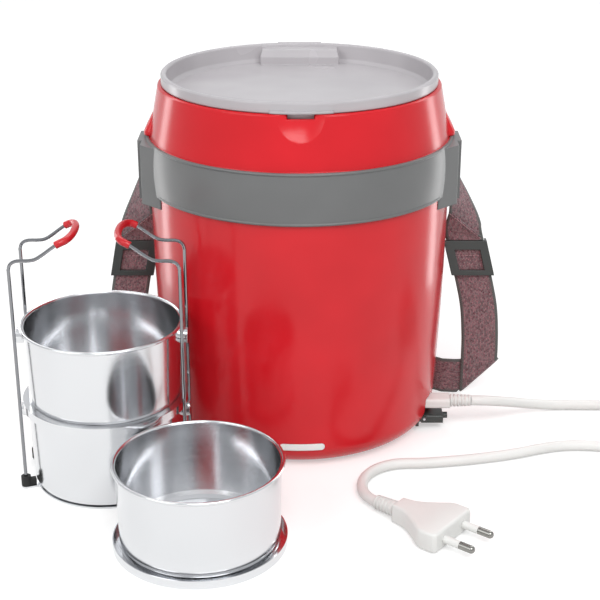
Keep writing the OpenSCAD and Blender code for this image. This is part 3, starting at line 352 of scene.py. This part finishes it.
# Silicone of the gasket and of the leads: pale, slightly waxy
pale_silicone = moulded("pale_silicone", "#DEDCD4", "#D5D3CB", 0.5, 1.0, 0.02)
lead_silicone = moulded("lead_silicone", "#B8432F", "#A93B29", 0.5, 0.8, 0.02)
# Phenolic case of the thermostat: dark brown and hard
brown_phenolic = moulded("brown_phenolic", "#2E2420", "#261E1B", 0.35, 1.2, 0.015)
# Polyurethane foam between the walls: cream, with open cells of 1.5 mm
foam_cells = moulded("polyurethane_foam", "#E6D8A8", "#D3C38E", 0.9, 1.5, 0.5)
print("soft and dull finishes ready")

# %% [markdown]
# ## Spun and polished steel
# The containers are stainless steel that was spun round and polished with a wheel, so very fine
# rings run round them. The rings are noise in two coordinates only, the distance from the axis and
# the height, which gives the same value all the way round. A Mapping node moves the pattern's
# centre to the axis of the container, because the pattern would otherwise turn about the origin.

# %% Steel, with rings round an axis
RING_DEPTH = 0.0015 * MM


def spun_steel(name, centre, rough, ring_mm, shade="#D8D9DB", spread=0.04):
    """Stainless steel with polishing rings of ring_mm about a vertical axis at centre."""
    made, tree, shader = new_material(name, {
        "Base Color": colour(shade), "Metallic": 1.0, "Roughness": rough})
    place = add(tree, "ShaderNodeTexCoord").outputs["Object"]
    moved = add(tree, "ShaderNodeMapping", {"Location": (-centre[0], -centre[1], 0)},
                {"Vector": place}).outputs[0]
    split = add(tree, "ShaderNodeSeparateXYZ", links={0: moved})
    flat = add(tree, "ShaderNodeCombineXYZ", links={0: split.outputs[0], 1: split.outputs[1]})
    radius = add(tree, "ShaderNodeVectorMath", {"operation": "LENGTH"}, {0: flat.outputs[0]})
    rings = add(tree, "ShaderNodeCombineXYZ",
                links={0: radius.outputs["Value"], 2: split.outputs[2]})
    fine = add(tree, "ShaderNodeTexNoise", {"Scale": 1000 / ring_mm, "Detail": 2.0},
               {"Vector": rings.outputs[0]})
    gloss = add(tree, "ShaderNodeMapRange", {"To Min": rough - spread, "To Max": rough + spread},
                {"Value": fine.outputs[0]})
    tree.links.new(gloss.outputs[0], shader.inputs["Roughness"])
    skin = add(tree, "ShaderNodeBump", {"Strength": 1.0, "Distance": RING_DEPTH},
               {"Height": fine.outputs[0]})
    tree.links.new(skin.outputs[0], shader.inputs["Normal"])
    return made


# %% Where the containers stand


def axis_of(name):
    """Where the vertical axis of a round piece stands, as the middle of its box."""
    low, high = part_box(name)
    return (low.x + high.x) / 2, (low.y + high.y) / 2


rack_axis = axis_of("container_low")
front_axis = axis_of("container_front")
print("axes at", [round(v, 4) for v in rack_axis + front_axis])

# %% Each metal of the lunch box
# Container steel: bright, with soft rings a little under a millimetre apart
rack_steel = spun_steel("spun_rack_steel", rack_axis, 0.17, 0.8)
front_steel = spun_steel("spun_front_steel", front_axis, 0.17, 0.8)
# Steel of the liner, the heat shield and the pan in the lid: duller, since it isn't polished as far
liner_steel = spun_steel("drawn_liner_steel", (0, 0), 0.3, 1.2)
# Bright drawn wire of the rack and of the bars that hold the strap
bright_wire = spun_steel("bright_drawn_wire", rack_axis, 0.12, 1.5, "#8B8C8F", 0.03)
# Nickel plating of the plug pins: darker and warmer than steel
nickel_plate = spun_steel("nickel_plating", (0, 0), 0.16, 1.0, "#8E8D89", 0.03)
# Zinc plating of screws, hinge pins and clamps: pale, and duller than the containers
small_steel = spun_steel("zinc_plated_steel", (0, 0), 0.32, 1.5, "#BFC2C6")
# Cast aluminium of the heater plate: pale and slightly rough
cast_aluminium = spun_steel("cast_aluminium", (0, 0), 0.45, 2.0, "#C4C5C7")
# Nickel-plated brass of the contacts
plated_brass = spun_steel("plated_brass", (0, 0), 0.28, 1.2, "#C9A766")
# Oxidised sheath of the heating element
dark_sheath = spun_steel("oxidised_sheath", (0, 0), 0.5, 1.5, "#4A4744")
print("metals ready")

# %% [markdown]
# ## Which piece gets which finish
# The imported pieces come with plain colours. A list of names for each finish keeps this readable,
# and anything that was forgotten is printed.

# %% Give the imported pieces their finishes
finishes = {
    glossy_red_abs: ["outer_shell", "upper_shell"],
    satin_grey_abs: ["band"],
    light_grey_abs: ["lid_shell", "collar"],
    dark_nylon: ["slider_left", "slider_right", "inlet_socket", "inlet_cover", "base_cover"],
    white_pvc: ["connector", "connector_relief", "plug_relief", "plug_sleeves"],
    red_grip_pvc: ["grip_left", "grip_right"],
    milky_lens: ["indicator_lens", "indicator_lamp"],
    black_rubber: ["foot_pad", "rack_feet", "coil_tie"],
    pale_silicone: ["lid_gasket"],
    lead_silicone: ["wiring"],
    brown_phenolic: ["thermostat"],
    foam_cells: ["insulation", "lid_insulation"],
    rack_steel: ["container_low", "container_up", "container_lid", "rack_base"],
    front_steel: ["container_front", "front_lid"],
    liner_steel: ["inner_liner", "lid_liner", "heat_shield"],
    bright_wire: ["rack_wire_left", "rack_wire_right", "strap_bars"],
    nickel_plate: ["plug_pins"],
    small_steel: ["shield_screws", "base_screws", "lid_screws", "hinge_pin", "cover_pin",
                  "element_clamp"],
    cast_aluminium: ["heater_plate"],
    plated_brass: ["inlet_pins", "connector_contacts", "thermal_fuse"],
    dark_sheath: ["heating_element"],
}
for finish, names in finishes.items():
    for name in names:
        parts[name].data.materials.clear()
        parts[name].data.materials.append(finish)
dressed = {n for names in finishes.values() for n in names}
print("without a finish yet:", sorted(set(parts) - dressed))
mains_cord.data.materials.append(white_pvc)
plug.data.materials.append(white_pvc)

# %% [markdown]
# ## Beads along the band
# The moulded band ends in a rounded bead at its upper and its lower edge, which catches a thin line
# of light. A bead is a round rod that follows the band from one ear to the other, so the function
# for the cable makes it too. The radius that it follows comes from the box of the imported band, less
# the crown of the band and the part of the bead that sinks in.

# %% A bead at each edge, in front and behind
BEAD_R = 0.95 * MM
BEAD_SUNK = 0.25 * MM
BEAD_IN = 0.75 * MM
BAND_CROWN = 0.7 * MM
BAND_TALL = 30 * MM
band_low, band_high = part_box("band")
band_edge = -band_low.y - BAND_CROWN - BEAD_SUNK


def bead(name, z, middle, reach):
    """A bead at height z, reach degrees to each side of the direction middle."""
    turn = [math.radians(middle + reach * (i / 32 - 1)) for i in range(65)]
    made = round_cable(name, [(band_edge * math.cos(a), band_edge * math.sin(a), z)
                              for a in turn], BEAD_R)
    made.data.materials.append(satin_grey_abs)
    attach(made, "main_body")


for side, middle, reach in (("front", -90, 62), ("back", 90, 50)):
    bead("band_bead_low_" + side, band_high.z - BAND_TALL + BEAD_IN, middle, reach)
    bead("band_bead_top_" + side, band_high.z - BEAD_IN, middle, reach)
print("band edge radius:", round(band_edge, 4), "m")

# %% [markdown]
# ## Woven webbing
# The strap is a polyester webbing, 24 mm wide. Its yarns are about a millimetre thick and pass over
# and under each other, each row shifted by half against the next. A brick pattern does exactly
# that, and its mortar is the dark gap between yarns. It runs on the strap's own UV map, measured in
# millimetres, so that the yarns follow every fold.

# %% Webbing material, all in millimetres of the UV map
YARN_LONG, YARN_WIDE, YARN_GAP = 1.5, 1.0, 0.13
FLECK = 1.25
RIM_FROM, RIM_TO = 9.9, 10.5
YARN_HIGH = 0.35


def woven(name):
    """Webbing of mixed dark red, pink and grey yarns with plain grey edges."""
    made, tree, shader = new_material(name, {
        "Base Color": colour("#6B3F48"), "Roughness": 0.82, "Sheen Weight": 0.25,
        "Sheen Roughness": 0.5})
    uv = add(tree, "ShaderNodeUVMap", {"uv_map": "webbing"}).outputs[0]
    yarns = add(tree, "ShaderNodeTexBrick", {
        "offset": 0.5, "offset_frequency": 2, "squash": 1.0, "Color1": colour("#B98088"),
        "Color2": colour("#6B3A45"), "Mortar": colour("#3C2C30"), "Scale": 1.0,
        "Mortar Size": YARN_GAP, "Mortar Smooth": 0.7, "Bias": 0.0, "Brick Width": YARN_LONG,
        "Row Height": YARN_WIDE}, {"Vector": uv})
    flecks = add(tree, "ShaderNodeTexNoise", {"Scale": 1 / FLECK, "Detail": 1.0},
                 {"Vector": uv})
    amount = add(tree, "ShaderNodeValToRGB", links={0: flecks.outputs[0]})
    set_stops(amount, [(0.4, (0, 0, 0, 1)), (0.62, (0.55, 0.55, 0.55, 1))])
    mixed = add(tree, "ShaderNodeMix", {"data_type": "RGBA", 7: colour("#8A8886")},
                {0: amount.outputs[0], 6: yarns.outputs["Color"]})
    across = add(tree, "ShaderNodeSeparateXYZ", links={0: uv}).outputs[1]
    side = add(tree, "ShaderNodeMath", {"operation": "ABSOLUTE"}, {0: across})
    edge = add(tree, "ShaderNodeMapRange", {"From Min": RIM_FROM, "From Max": RIM_TO},
               {"Value": side.outputs[0]})
    rims = add(tree, "ShaderNodeMix", {"data_type": "RGBA", 7: colour("#5E605D")},
               {0: edge.outputs[0], 6: mixed.outputs[2]})
    tree.links.new(rims.outputs[2], shader.inputs["Base Color"])
    raised = add(tree, "ShaderNodeMath", {"operation": "SUBTRACT", 0: 1.0},
                 {1: yarns.outputs["Fac"]})
    skin = add(tree, "ShaderNodeBump", {"Strength": 1.0, "Distance": YARN_HIGH * MM},
               {"Height": raised.outputs[0]})
    tree.links.new(skin.outputs[0], shader.inputs["Normal"])
    return made


webbing = woven("polyester_webbing")

# %% [markdown]
# ## The shape of the strap
# The strap is threaded over a bar in each ear of the band, hangs down through a slider, folds at
# the table and passes round the back. It is one long ribbon, so each station is a centre and half
# its width as a vector, and the ribbon twists as that vector turns. The section is a flat lens with
# thinner edges, because webbing is a little thicker in the middle. A folded flat strap can't be
# made by cloth simulation without losing its crisp folds, so it is lofted directly.

# %% Loft a ribbon
THICK, HALF = 1.4, 12.0
EDGE_THINNER = 0.45


def ribbon(name, stations, thick, finish, across=14):
    """A webbing ribbon. Stations hold a centre and half the width, in millimetres."""
    rings, run = [], [0.0]
    for i, station in enumerate(stations):
        centre, half = Vector(station[:3]), Vector(station[3:])
        before = Vector(stations[max(i - 1, 0)][:3])
        after = Vector(stations[min(i + 1, len(stations) - 1)][:3])
        if i:
            run.append(run[-1] + (centre - before).length)
        up = (after - before).normalized().cross(half.normalized()).normalized()
        ring = []
        for side in (1, -1):
            for k in range(across + 1):
                u = side * (2 * k / across - 1)
                t = thick / 2 * (1 - EDGE_THINNER * abs(u) ** 8)
                ring.append((centre + half * u + up * t * side, HALF * u))
        rings.append(ring)
    count = len(rings[0])
    points = [p * MM for ring in rings for p, v in ring]
    faces = []
    for i in range(len(rings) - 1):
        for k in range(count):
            a, b = i * count + k, i * count + (k + 1) % count
            faces.append((a, b, b + count, a + count))
    last = (len(rings) - 1) * count
    faces += [tuple(range(count - 1, -1, -1)), tuple(last + k for k in range(count))]
    mesh = bpy.data.meshes.new(name)
    mesh.from_pydata(points, [], faces)
    layer = mesh.uv_layers.new(name="webbing")
    for face in mesh.polygons:
        for loop in face.loop_indices:
            v = mesh.loops[loop].vertex_index
            layer.data[loop].uv = (run[v // count], rings[v // count][v % count][1])
    mesh.validate()
    mesh.materials.append(finish)
    mesh.shade_smooth()
    made = bpy.data.objects.new(name, mesh)
    bpy.context.scene.collection.objects.link(made)
    return made


# %% Stations from the ear down to the fold
BAR_X, BAR_Z, TURN = 93.8, 165.0, 2.05
LEFT_SIDE = 0.75
LOW = HALF + 0.4
SLIDE_Y, SLIDE_Z = 18.0, 96.0


def hanging(wide):
    """Stations of one side, as on the right. wide scales how far the strap stands out."""
    b, y = BAR_X + TURN, 17.0
    rows = [
        (BAR_X - TURN, y, BAR_Z - 7, 0, 1, 0), (BAR_X - TURN, y, BAR_Z, 0, 1, 0),
        (BAR_X - 0.7 * TURN, y, BAR_Z + 0.7 * TURN, 0, 1, 0), (BAR_X, y, BAR_Z + TURN, 0, 1, 0),
        (BAR_X + 0.7 * TURN, y, BAR_Z + 0.7 * TURN, 0, 1, 0), (b, y, BAR_Z, 0, 1, 0),
        (b + 0.4, y, BAR_Z - 10, 0.15, 0.99, 0), (b + 1.4, y, BAR_Z - 18, 0.35, 0.94, 0),
        (b + 4.5 * wide, y + 0.4, BAR_Z - 28, 0.55, 0.83, 0),
        (b + 7.2 * wide, y + 0.7, BAR_Z - 39, 0.8, 0.6, 0),
        (b + 8 * wide, SLIDE_Y - 0.2, BAR_Z - 46, 0.96, 0.28, 0),
        (b + 8.4 * wide, SLIDE_Y, SLIDE_Z + 17, 1, 0, 0),
        (b + 17 * wide, SLIDE_Y, SLIDE_Z - 17, 1, 0, 0),
        (b + 20.5 * wide, SLIDE_Y, SLIDE_Z - 34, 1, 0, 0),
        (b + 22 * wide, SLIDE_Y, SLIDE_Z - 50, 1, 0, 0),
        (b + 22.5 * wide, SLIDE_Y, SLIDE_Z - 63, 1, 0, 0),
        (b + 22.5 * wide, SLIDE_Y, LOW + 1.8, 1, 0, 1)]
    rows = [(x, y, z, *(Vector((u, v, w)) * (HALF if w else HALF / math.hypot(u, v))))
            for x, y, z, u, v, w in rows]
    fold = rows[-1][0]
    line = smooth_line(rows, 6)
    line.append((fold + 0.9, SLIDE_Y + 0.8, LOW + 0.9, HALF, 0, HALF))
    line.append((fold, SLIDE_Y + 1.6, LOW + 1.8, HALF, 0, HALF))
    return line, fold


right_side, right_fold = hanging(1.0)
left_side, left_fold = hanging(LEFT_SIDE)

# %% Stations round the back, and the whole strap
BACK_R, BACK_Y = 87.6, 19.6


def back_corner(fold, s):
    """Stations from the fold to where the strap touches the body, on side s."""
    x = fold - HALF - 2.5
    return [(s * (x + 1), BACK_Y, LOW, 0, 0, HALF), (s * (x - 2), BACK_Y, LOW, 0, 0, HALF),
            (s * (BACK_R + 7), BACK_Y + 0.9, LOW, 0, 0, HALF),
            (s * (BACK_R + 2), BACK_Y + 4.4, LOW, 0, 0, HALF)]


def mirrored(stations):
    """The same stations on the left, in the opposite order."""
    return [(-x, y, z, -u, v, w) for x, y, z, u, v, w in reversed(stations)]


round_back = [(BACK_R * math.cos(a), BACK_R * math.sin(a), LOW, 0, 0, HALF)
              for a in (math.radians(22 + 136 * i / 40) for i in range(41))]
strap_line = (right_side + back_corner(right_fold, 1) + round_back
              + list(reversed(back_corner(left_fold, -1))) + mirrored(left_side))
strap = ribbon("carry_strap", strap_line, THICK, webbing)
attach(strap, "main_body")
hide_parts("strap_right", "strap_left", "strap_back")
print("strap faces:", len(strap.data.polygons))

# %% [markdown]
# ## The free end of the strap
# The end of the webbing comes back out above the slider and stands up in front of the strap, with
# a slanting edge. It is one more ribbon, short and fanned out.

# %% The doubled end on each side


def doubled(s, wide, name):
    """The second layer on side s."""
    b = BAR_X + TURN
    rows = [(b + 9.3 * wide, 16.4, 109.2, 11.6, 0, 0),
            (b + 8.0 * wide, 15.6, 113.2, 11.4, 0.6, -1.4),
            (b + 7.2 * wide, 13.9, 116.6, 11.2, 1.6, -4.2),
            (b + 8.35 * wide, 11.8, 121.2, 10.6, 3.2, -9.4)]
    rows = smooth_line(rows, 5)
    if s < 0:
        rows = mirrored(rows)
    made = ribbon(name, rows, THICK * 0.9, webbing)
    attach(made, "main_body")


doubled(1, 1.0, "strap_tail_right")
doubled(-1, LEFT_SIDE, "strap_tail_left")

# %% [markdown]
# ## Stitches
# Rows of pale thread hold the doubled layers. Every stitch is the same, and they follow a line at
# an even spacing, which is a job for Geometry Nodes: the line is resampled at the stitch spacing,
# one short thread is set on each point and turned along the line, and the result is made real.

# %% A tree that sews along a line


def sewing_tree():
    """Geometry Nodes that turn the edges of a mesh into rows of stitches."""
    tree = bpy.data.node_groups.new("sewing", "GeometryNodeTree")
    face = tree.interface
    face.new_socket("Geometry", in_out="INPUT", socket_type="NodeSocketGeometry")
    face.new_socket("Spacing", in_out="INPUT", socket_type="NodeSocketFloat")
    face.new_socket("Stitch Length", in_out="INPUT", socket_type="NodeSocketFloat")
    face.new_socket("Thread", in_out="INPUT", socket_type="NodeSocketFloat")
    face.new_socket("Material", in_out="INPUT", socket_type="NodeSocketMaterial")
    face.new_socket("Geometry", in_out="OUTPUT", socket_type="NodeSocketGeometry")
    given = add(tree, "NodeGroupInput")
    line = add(tree, "GeometryNodeMeshToCurve", links={0: given.outputs["Geometry"]})
    even = add(tree, "GeometryNodeResampleCurve", {"mode": "LENGTH"},
               {"Curve": line.outputs[0], "Length": given.outputs["Spacing"]})
    half = add(tree, "ShaderNodeMath", {"operation": "MULTIPLY", 1: 0.5},
               {0: given.outputs["Thread"]})
    thread = add(tree, "GeometryNodeMeshCylinder", {"Vertices": 6},
                 {"Radius": half.outputs[0], "Depth": given.outputs["Stitch Length"]})
    along = add(tree, "GeometryNodeInputTangent")
    turn = add(tree, "FunctionNodeAlignEulerToVector", {"axis": "Z"},
               {"Vector": along.outputs[0]})
    sewn = add(tree, "GeometryNodeInstanceOnPoints", links={
        "Points": even.outputs[0], "Instance": thread.outputs["Mesh"],
        "Rotation": turn.outputs[0]})
    real = add(tree, "GeometryNodeRealizeInstances", links={0: sewn.outputs[0]})
    done = add(tree, "GeometryNodeSetMaterial", links={
        "Geometry": real.outputs[0], "Material": given.outputs["Material"]})
    add(tree, "NodeGroupOutput", links={0: done.outputs[0]})
    return tree


def apply_tree(name, base, tree, inputs):
    """The mesh that a tree makes from a base object, as a plain mesh object of that name."""
    live = base.modifiers.new("tree", "NODES")
    live.node_group = tree
    for socket in tree.interface.items_tree:
        if socket.in_out == "INPUT" and socket.name in inputs:
            live[socket.identifier] = inputs[socket.name]
    view = bpy.context.evaluated_depsgraph_get()
    mesh = bpy.data.meshes.new_from_object(base.evaluated_get(view), depsgraph=view)
    base.modifiers.remove(live)
    made = bpy.data.objects.new(name, mesh)
    bpy.context.scene.collection.objects.link(made)
    bpy.data.objects.remove(base)
    return made


# %% Thread, and lines to sew along
# Polyester sewing thread: pale pink, with a soft sheen
sewing_thread = moulded("polyester_thread", "#D2A9AC", "#C0979B", 0.6, 0.5, 0.02)


def line_object(name, rows):
    """A mesh of edges only, one chain for each row of points in millimetres."""
    points, edges = [], []
    for row in rows:
        start = len(points)
        points += [Vector(p) * MM for p in row]
        edges += [(start + i, start + i + 1) for i in range(len(row) - 1)]
    mesh = bpy.data.meshes.new(name)
    mesh.from_pydata(points, edges, [])
    made = bpy.data.objects.new(name, mesh)
    bpy.context.scene.collection.objects.link(made)
    return made


# %% The rows in each slider and along the cut ends
AT_SLIDER, LEAN = 12.7, 0.255
ROWS_AT = (100.7, 98.1)
HALF_ROW = 8.6


def sewn_rows(s, wide):
    """Two rows inside the window of a slider, and one along the slanting end of the webbing."""
    end = Vector((BAR_X + TURN + 8.35 * wide, 10.8, 120.2))
    rows = [[(s * (end.x + 10 * k), end.y + 3 * k, end.z - 8.8 * k) for k in (-1, -0.3, 0.4, 1)]]
    for z in ROWS_AT:
        x = BAR_X + TURN + (AT_SLIDER + (SLIDE_Z - z) * LEAN) * wide
        y = SLIDE_Y - THICK * 0.52
        rows.append([(s * (x - HALF_ROW), y, z), (s * (x + HALF_ROW), y, z)])
    return rows


sewing = sewing_tree()
stitch_lines = line_object("stitch_lines", sewn_rows(1, 1.0) + sewn_rows(-1, LEFT_SIDE))
stitches = apply_tree("stitches", stitch_lines, sewing, {
    "Spacing": 2.4 * MM, "Stitch Length": 1.7 * MM, "Thread": 0.45 * MM,
    "Material": sewing_thread})
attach(stitches, "main_body")
print("stitch faces:", len(stitches.data.polygons))

# %% [markdown]
# ## Table, light and surroundings
# A product table is a pale sheet. It has to stay paler than the object without more light on the
# object, so its own material is lifted a little for the camera and for reflections, and the
# diffuse part underneath still shows the shadow. The sheet is metres wide, so that its edges are
# outside the camera's view.

# %% The table
FIBRE = 2.5 * MM
FIBRE_HIGH = 0.02 * MM


def pale_table():
    """A white sheet that keeps soft shadows."""
    made, tree, shader = new_material("matt_white_sheet", {
        "Base Color": colour("#D6D6D5"), "Roughness": 0.7})
    place = add(tree, "ShaderNodeTexCoord").outputs["Object"]
    fibres = add(tree, "ShaderNodeTexNoise", {"Scale": 1 / FIBRE, "Detail": 2.0},
                 {"Vector": place})
    skin = add(tree, "ShaderNodeBump", {"Strength": 1.0, "Distance": FIBRE_HIGH},
               {"Height": fibres.outputs[0]})
    tree.links.new(skin.outputs[0], shader.inputs["Normal"])
    rays = add(tree, "ShaderNodeLightPath")
    seen = add(tree, "ShaderNodeMath", {"operation": "MAXIMUM"},
               {0: rays.outputs["Is Camera Ray"], 1: rays.outputs["Is Glossy Ray"]})
    lift = add(tree, "ShaderNodeMath", {"operation": "MULTIPLY", 1: 0.46}, {0: seen.outputs[0]})
    tree.links.new(lift.outputs[0], shader.inputs["Emission Strength"])
    shader.inputs["Emission Color"].default_value = (1, 1, 1, 1)
    return made


table_mesh = bpy.data.meshes.new("table")
table_mesh.from_pydata([(-8, -6, 0), (8, -6, 0), (8, 12, 0), (-8, 12, 0)], [], [(0, 1, 2, 3)])
table = bpy.data.objects.new("table", table_mesh)
table_mesh.materials.append(pale_table())
bpy.context.scene.collection.objects.link(table)

# %% [markdown]
# ## Lamps
# A wide soft lamp above and in front lights the shapes, a weaker one fills the left, one more
# lights the back, and two tall strips stand just outside the view. The strips only show as
# reflections: they draw the long pale lines down both sides of the red body and on the steel.

# %% Area lamps


def lamp(name, place, target, size, power, only_gloss=False):
    """A rectangular area lamp at a place, turned to a target."""
    data = bpy.data.lights.new(name, "AREA")
    data.shape = "RECTANGLE"
    data.size, data.size_y = size
    data.energy = power
    made = bpy.data.objects.new(name, data)
    made.location = place
    made.rotation_euler = (Vector(target) - Vector(place)).to_track_quat("-Z", "Y").to_euler()
    made.visible_camera = False
    made.visible_diffuse = not only_gloss
    bpy.context.scene.collection.objects.link(made)


lamp("key", (0.45, -1.5, 1.9), (0, 0, 0.1), (1.6, 1.2), 32)
lamp("fill", (-1.3, -1.2, 1.3), (0, 0, 0.1), (1.2, 1.2), 10)
lamp("back", (0.2, 1.4, 1.8), (0, 0, 0.15), (1.8, 0.8), 12)
for name, x in (("strip_right", 0.26), ("strip_left", -0.26)):
    lamp(name, (x, 0.09, 0.17), (0.0, -0.02, 0.14), (0.05, 0.36), 0.22, only_gloss=True)
print("lamps:", len(bpy.data.lights))

# %% Surroundings
world = bpy.data.worlds.new("studio")
world.use_nodes = True
bpy.context.scene.world = world
backdrop = world.node_tree.nodes["Background"]
backdrop.inputs["Color"].default_value = (0.93, 0.94, 0.96, 1)
# Mirror-like steel shows the white room round it, so the room is brighter in reflections
rays = add(world.node_tree, "ShaderNodeLightPath")
room = add(world.node_tree, "ShaderNodeMapRange", {"To Min": 0.46, "To Max": 0.86},
           {"Value": rays.outputs["Is Glossy Ray"]})
# The camera sees it at full white, as a plain studio wall
seen = add(world.node_tree, "ShaderNodeMath", {"operation": "MULTIPLY", 1: 1.08},
           {0: rays.outputs["Is Camera Ray"]})
strength = add(world.node_tree, "ShaderNodeMath", {"operation": "MAXIMUM"},
               {0: room.outputs[0], 1: seen.outputs[0]})
world.node_tree.links.new(strength.outputs[0], backdrop.inputs["Strength"])
bpy.context.scene.view_settings.view_transform = "Standard"
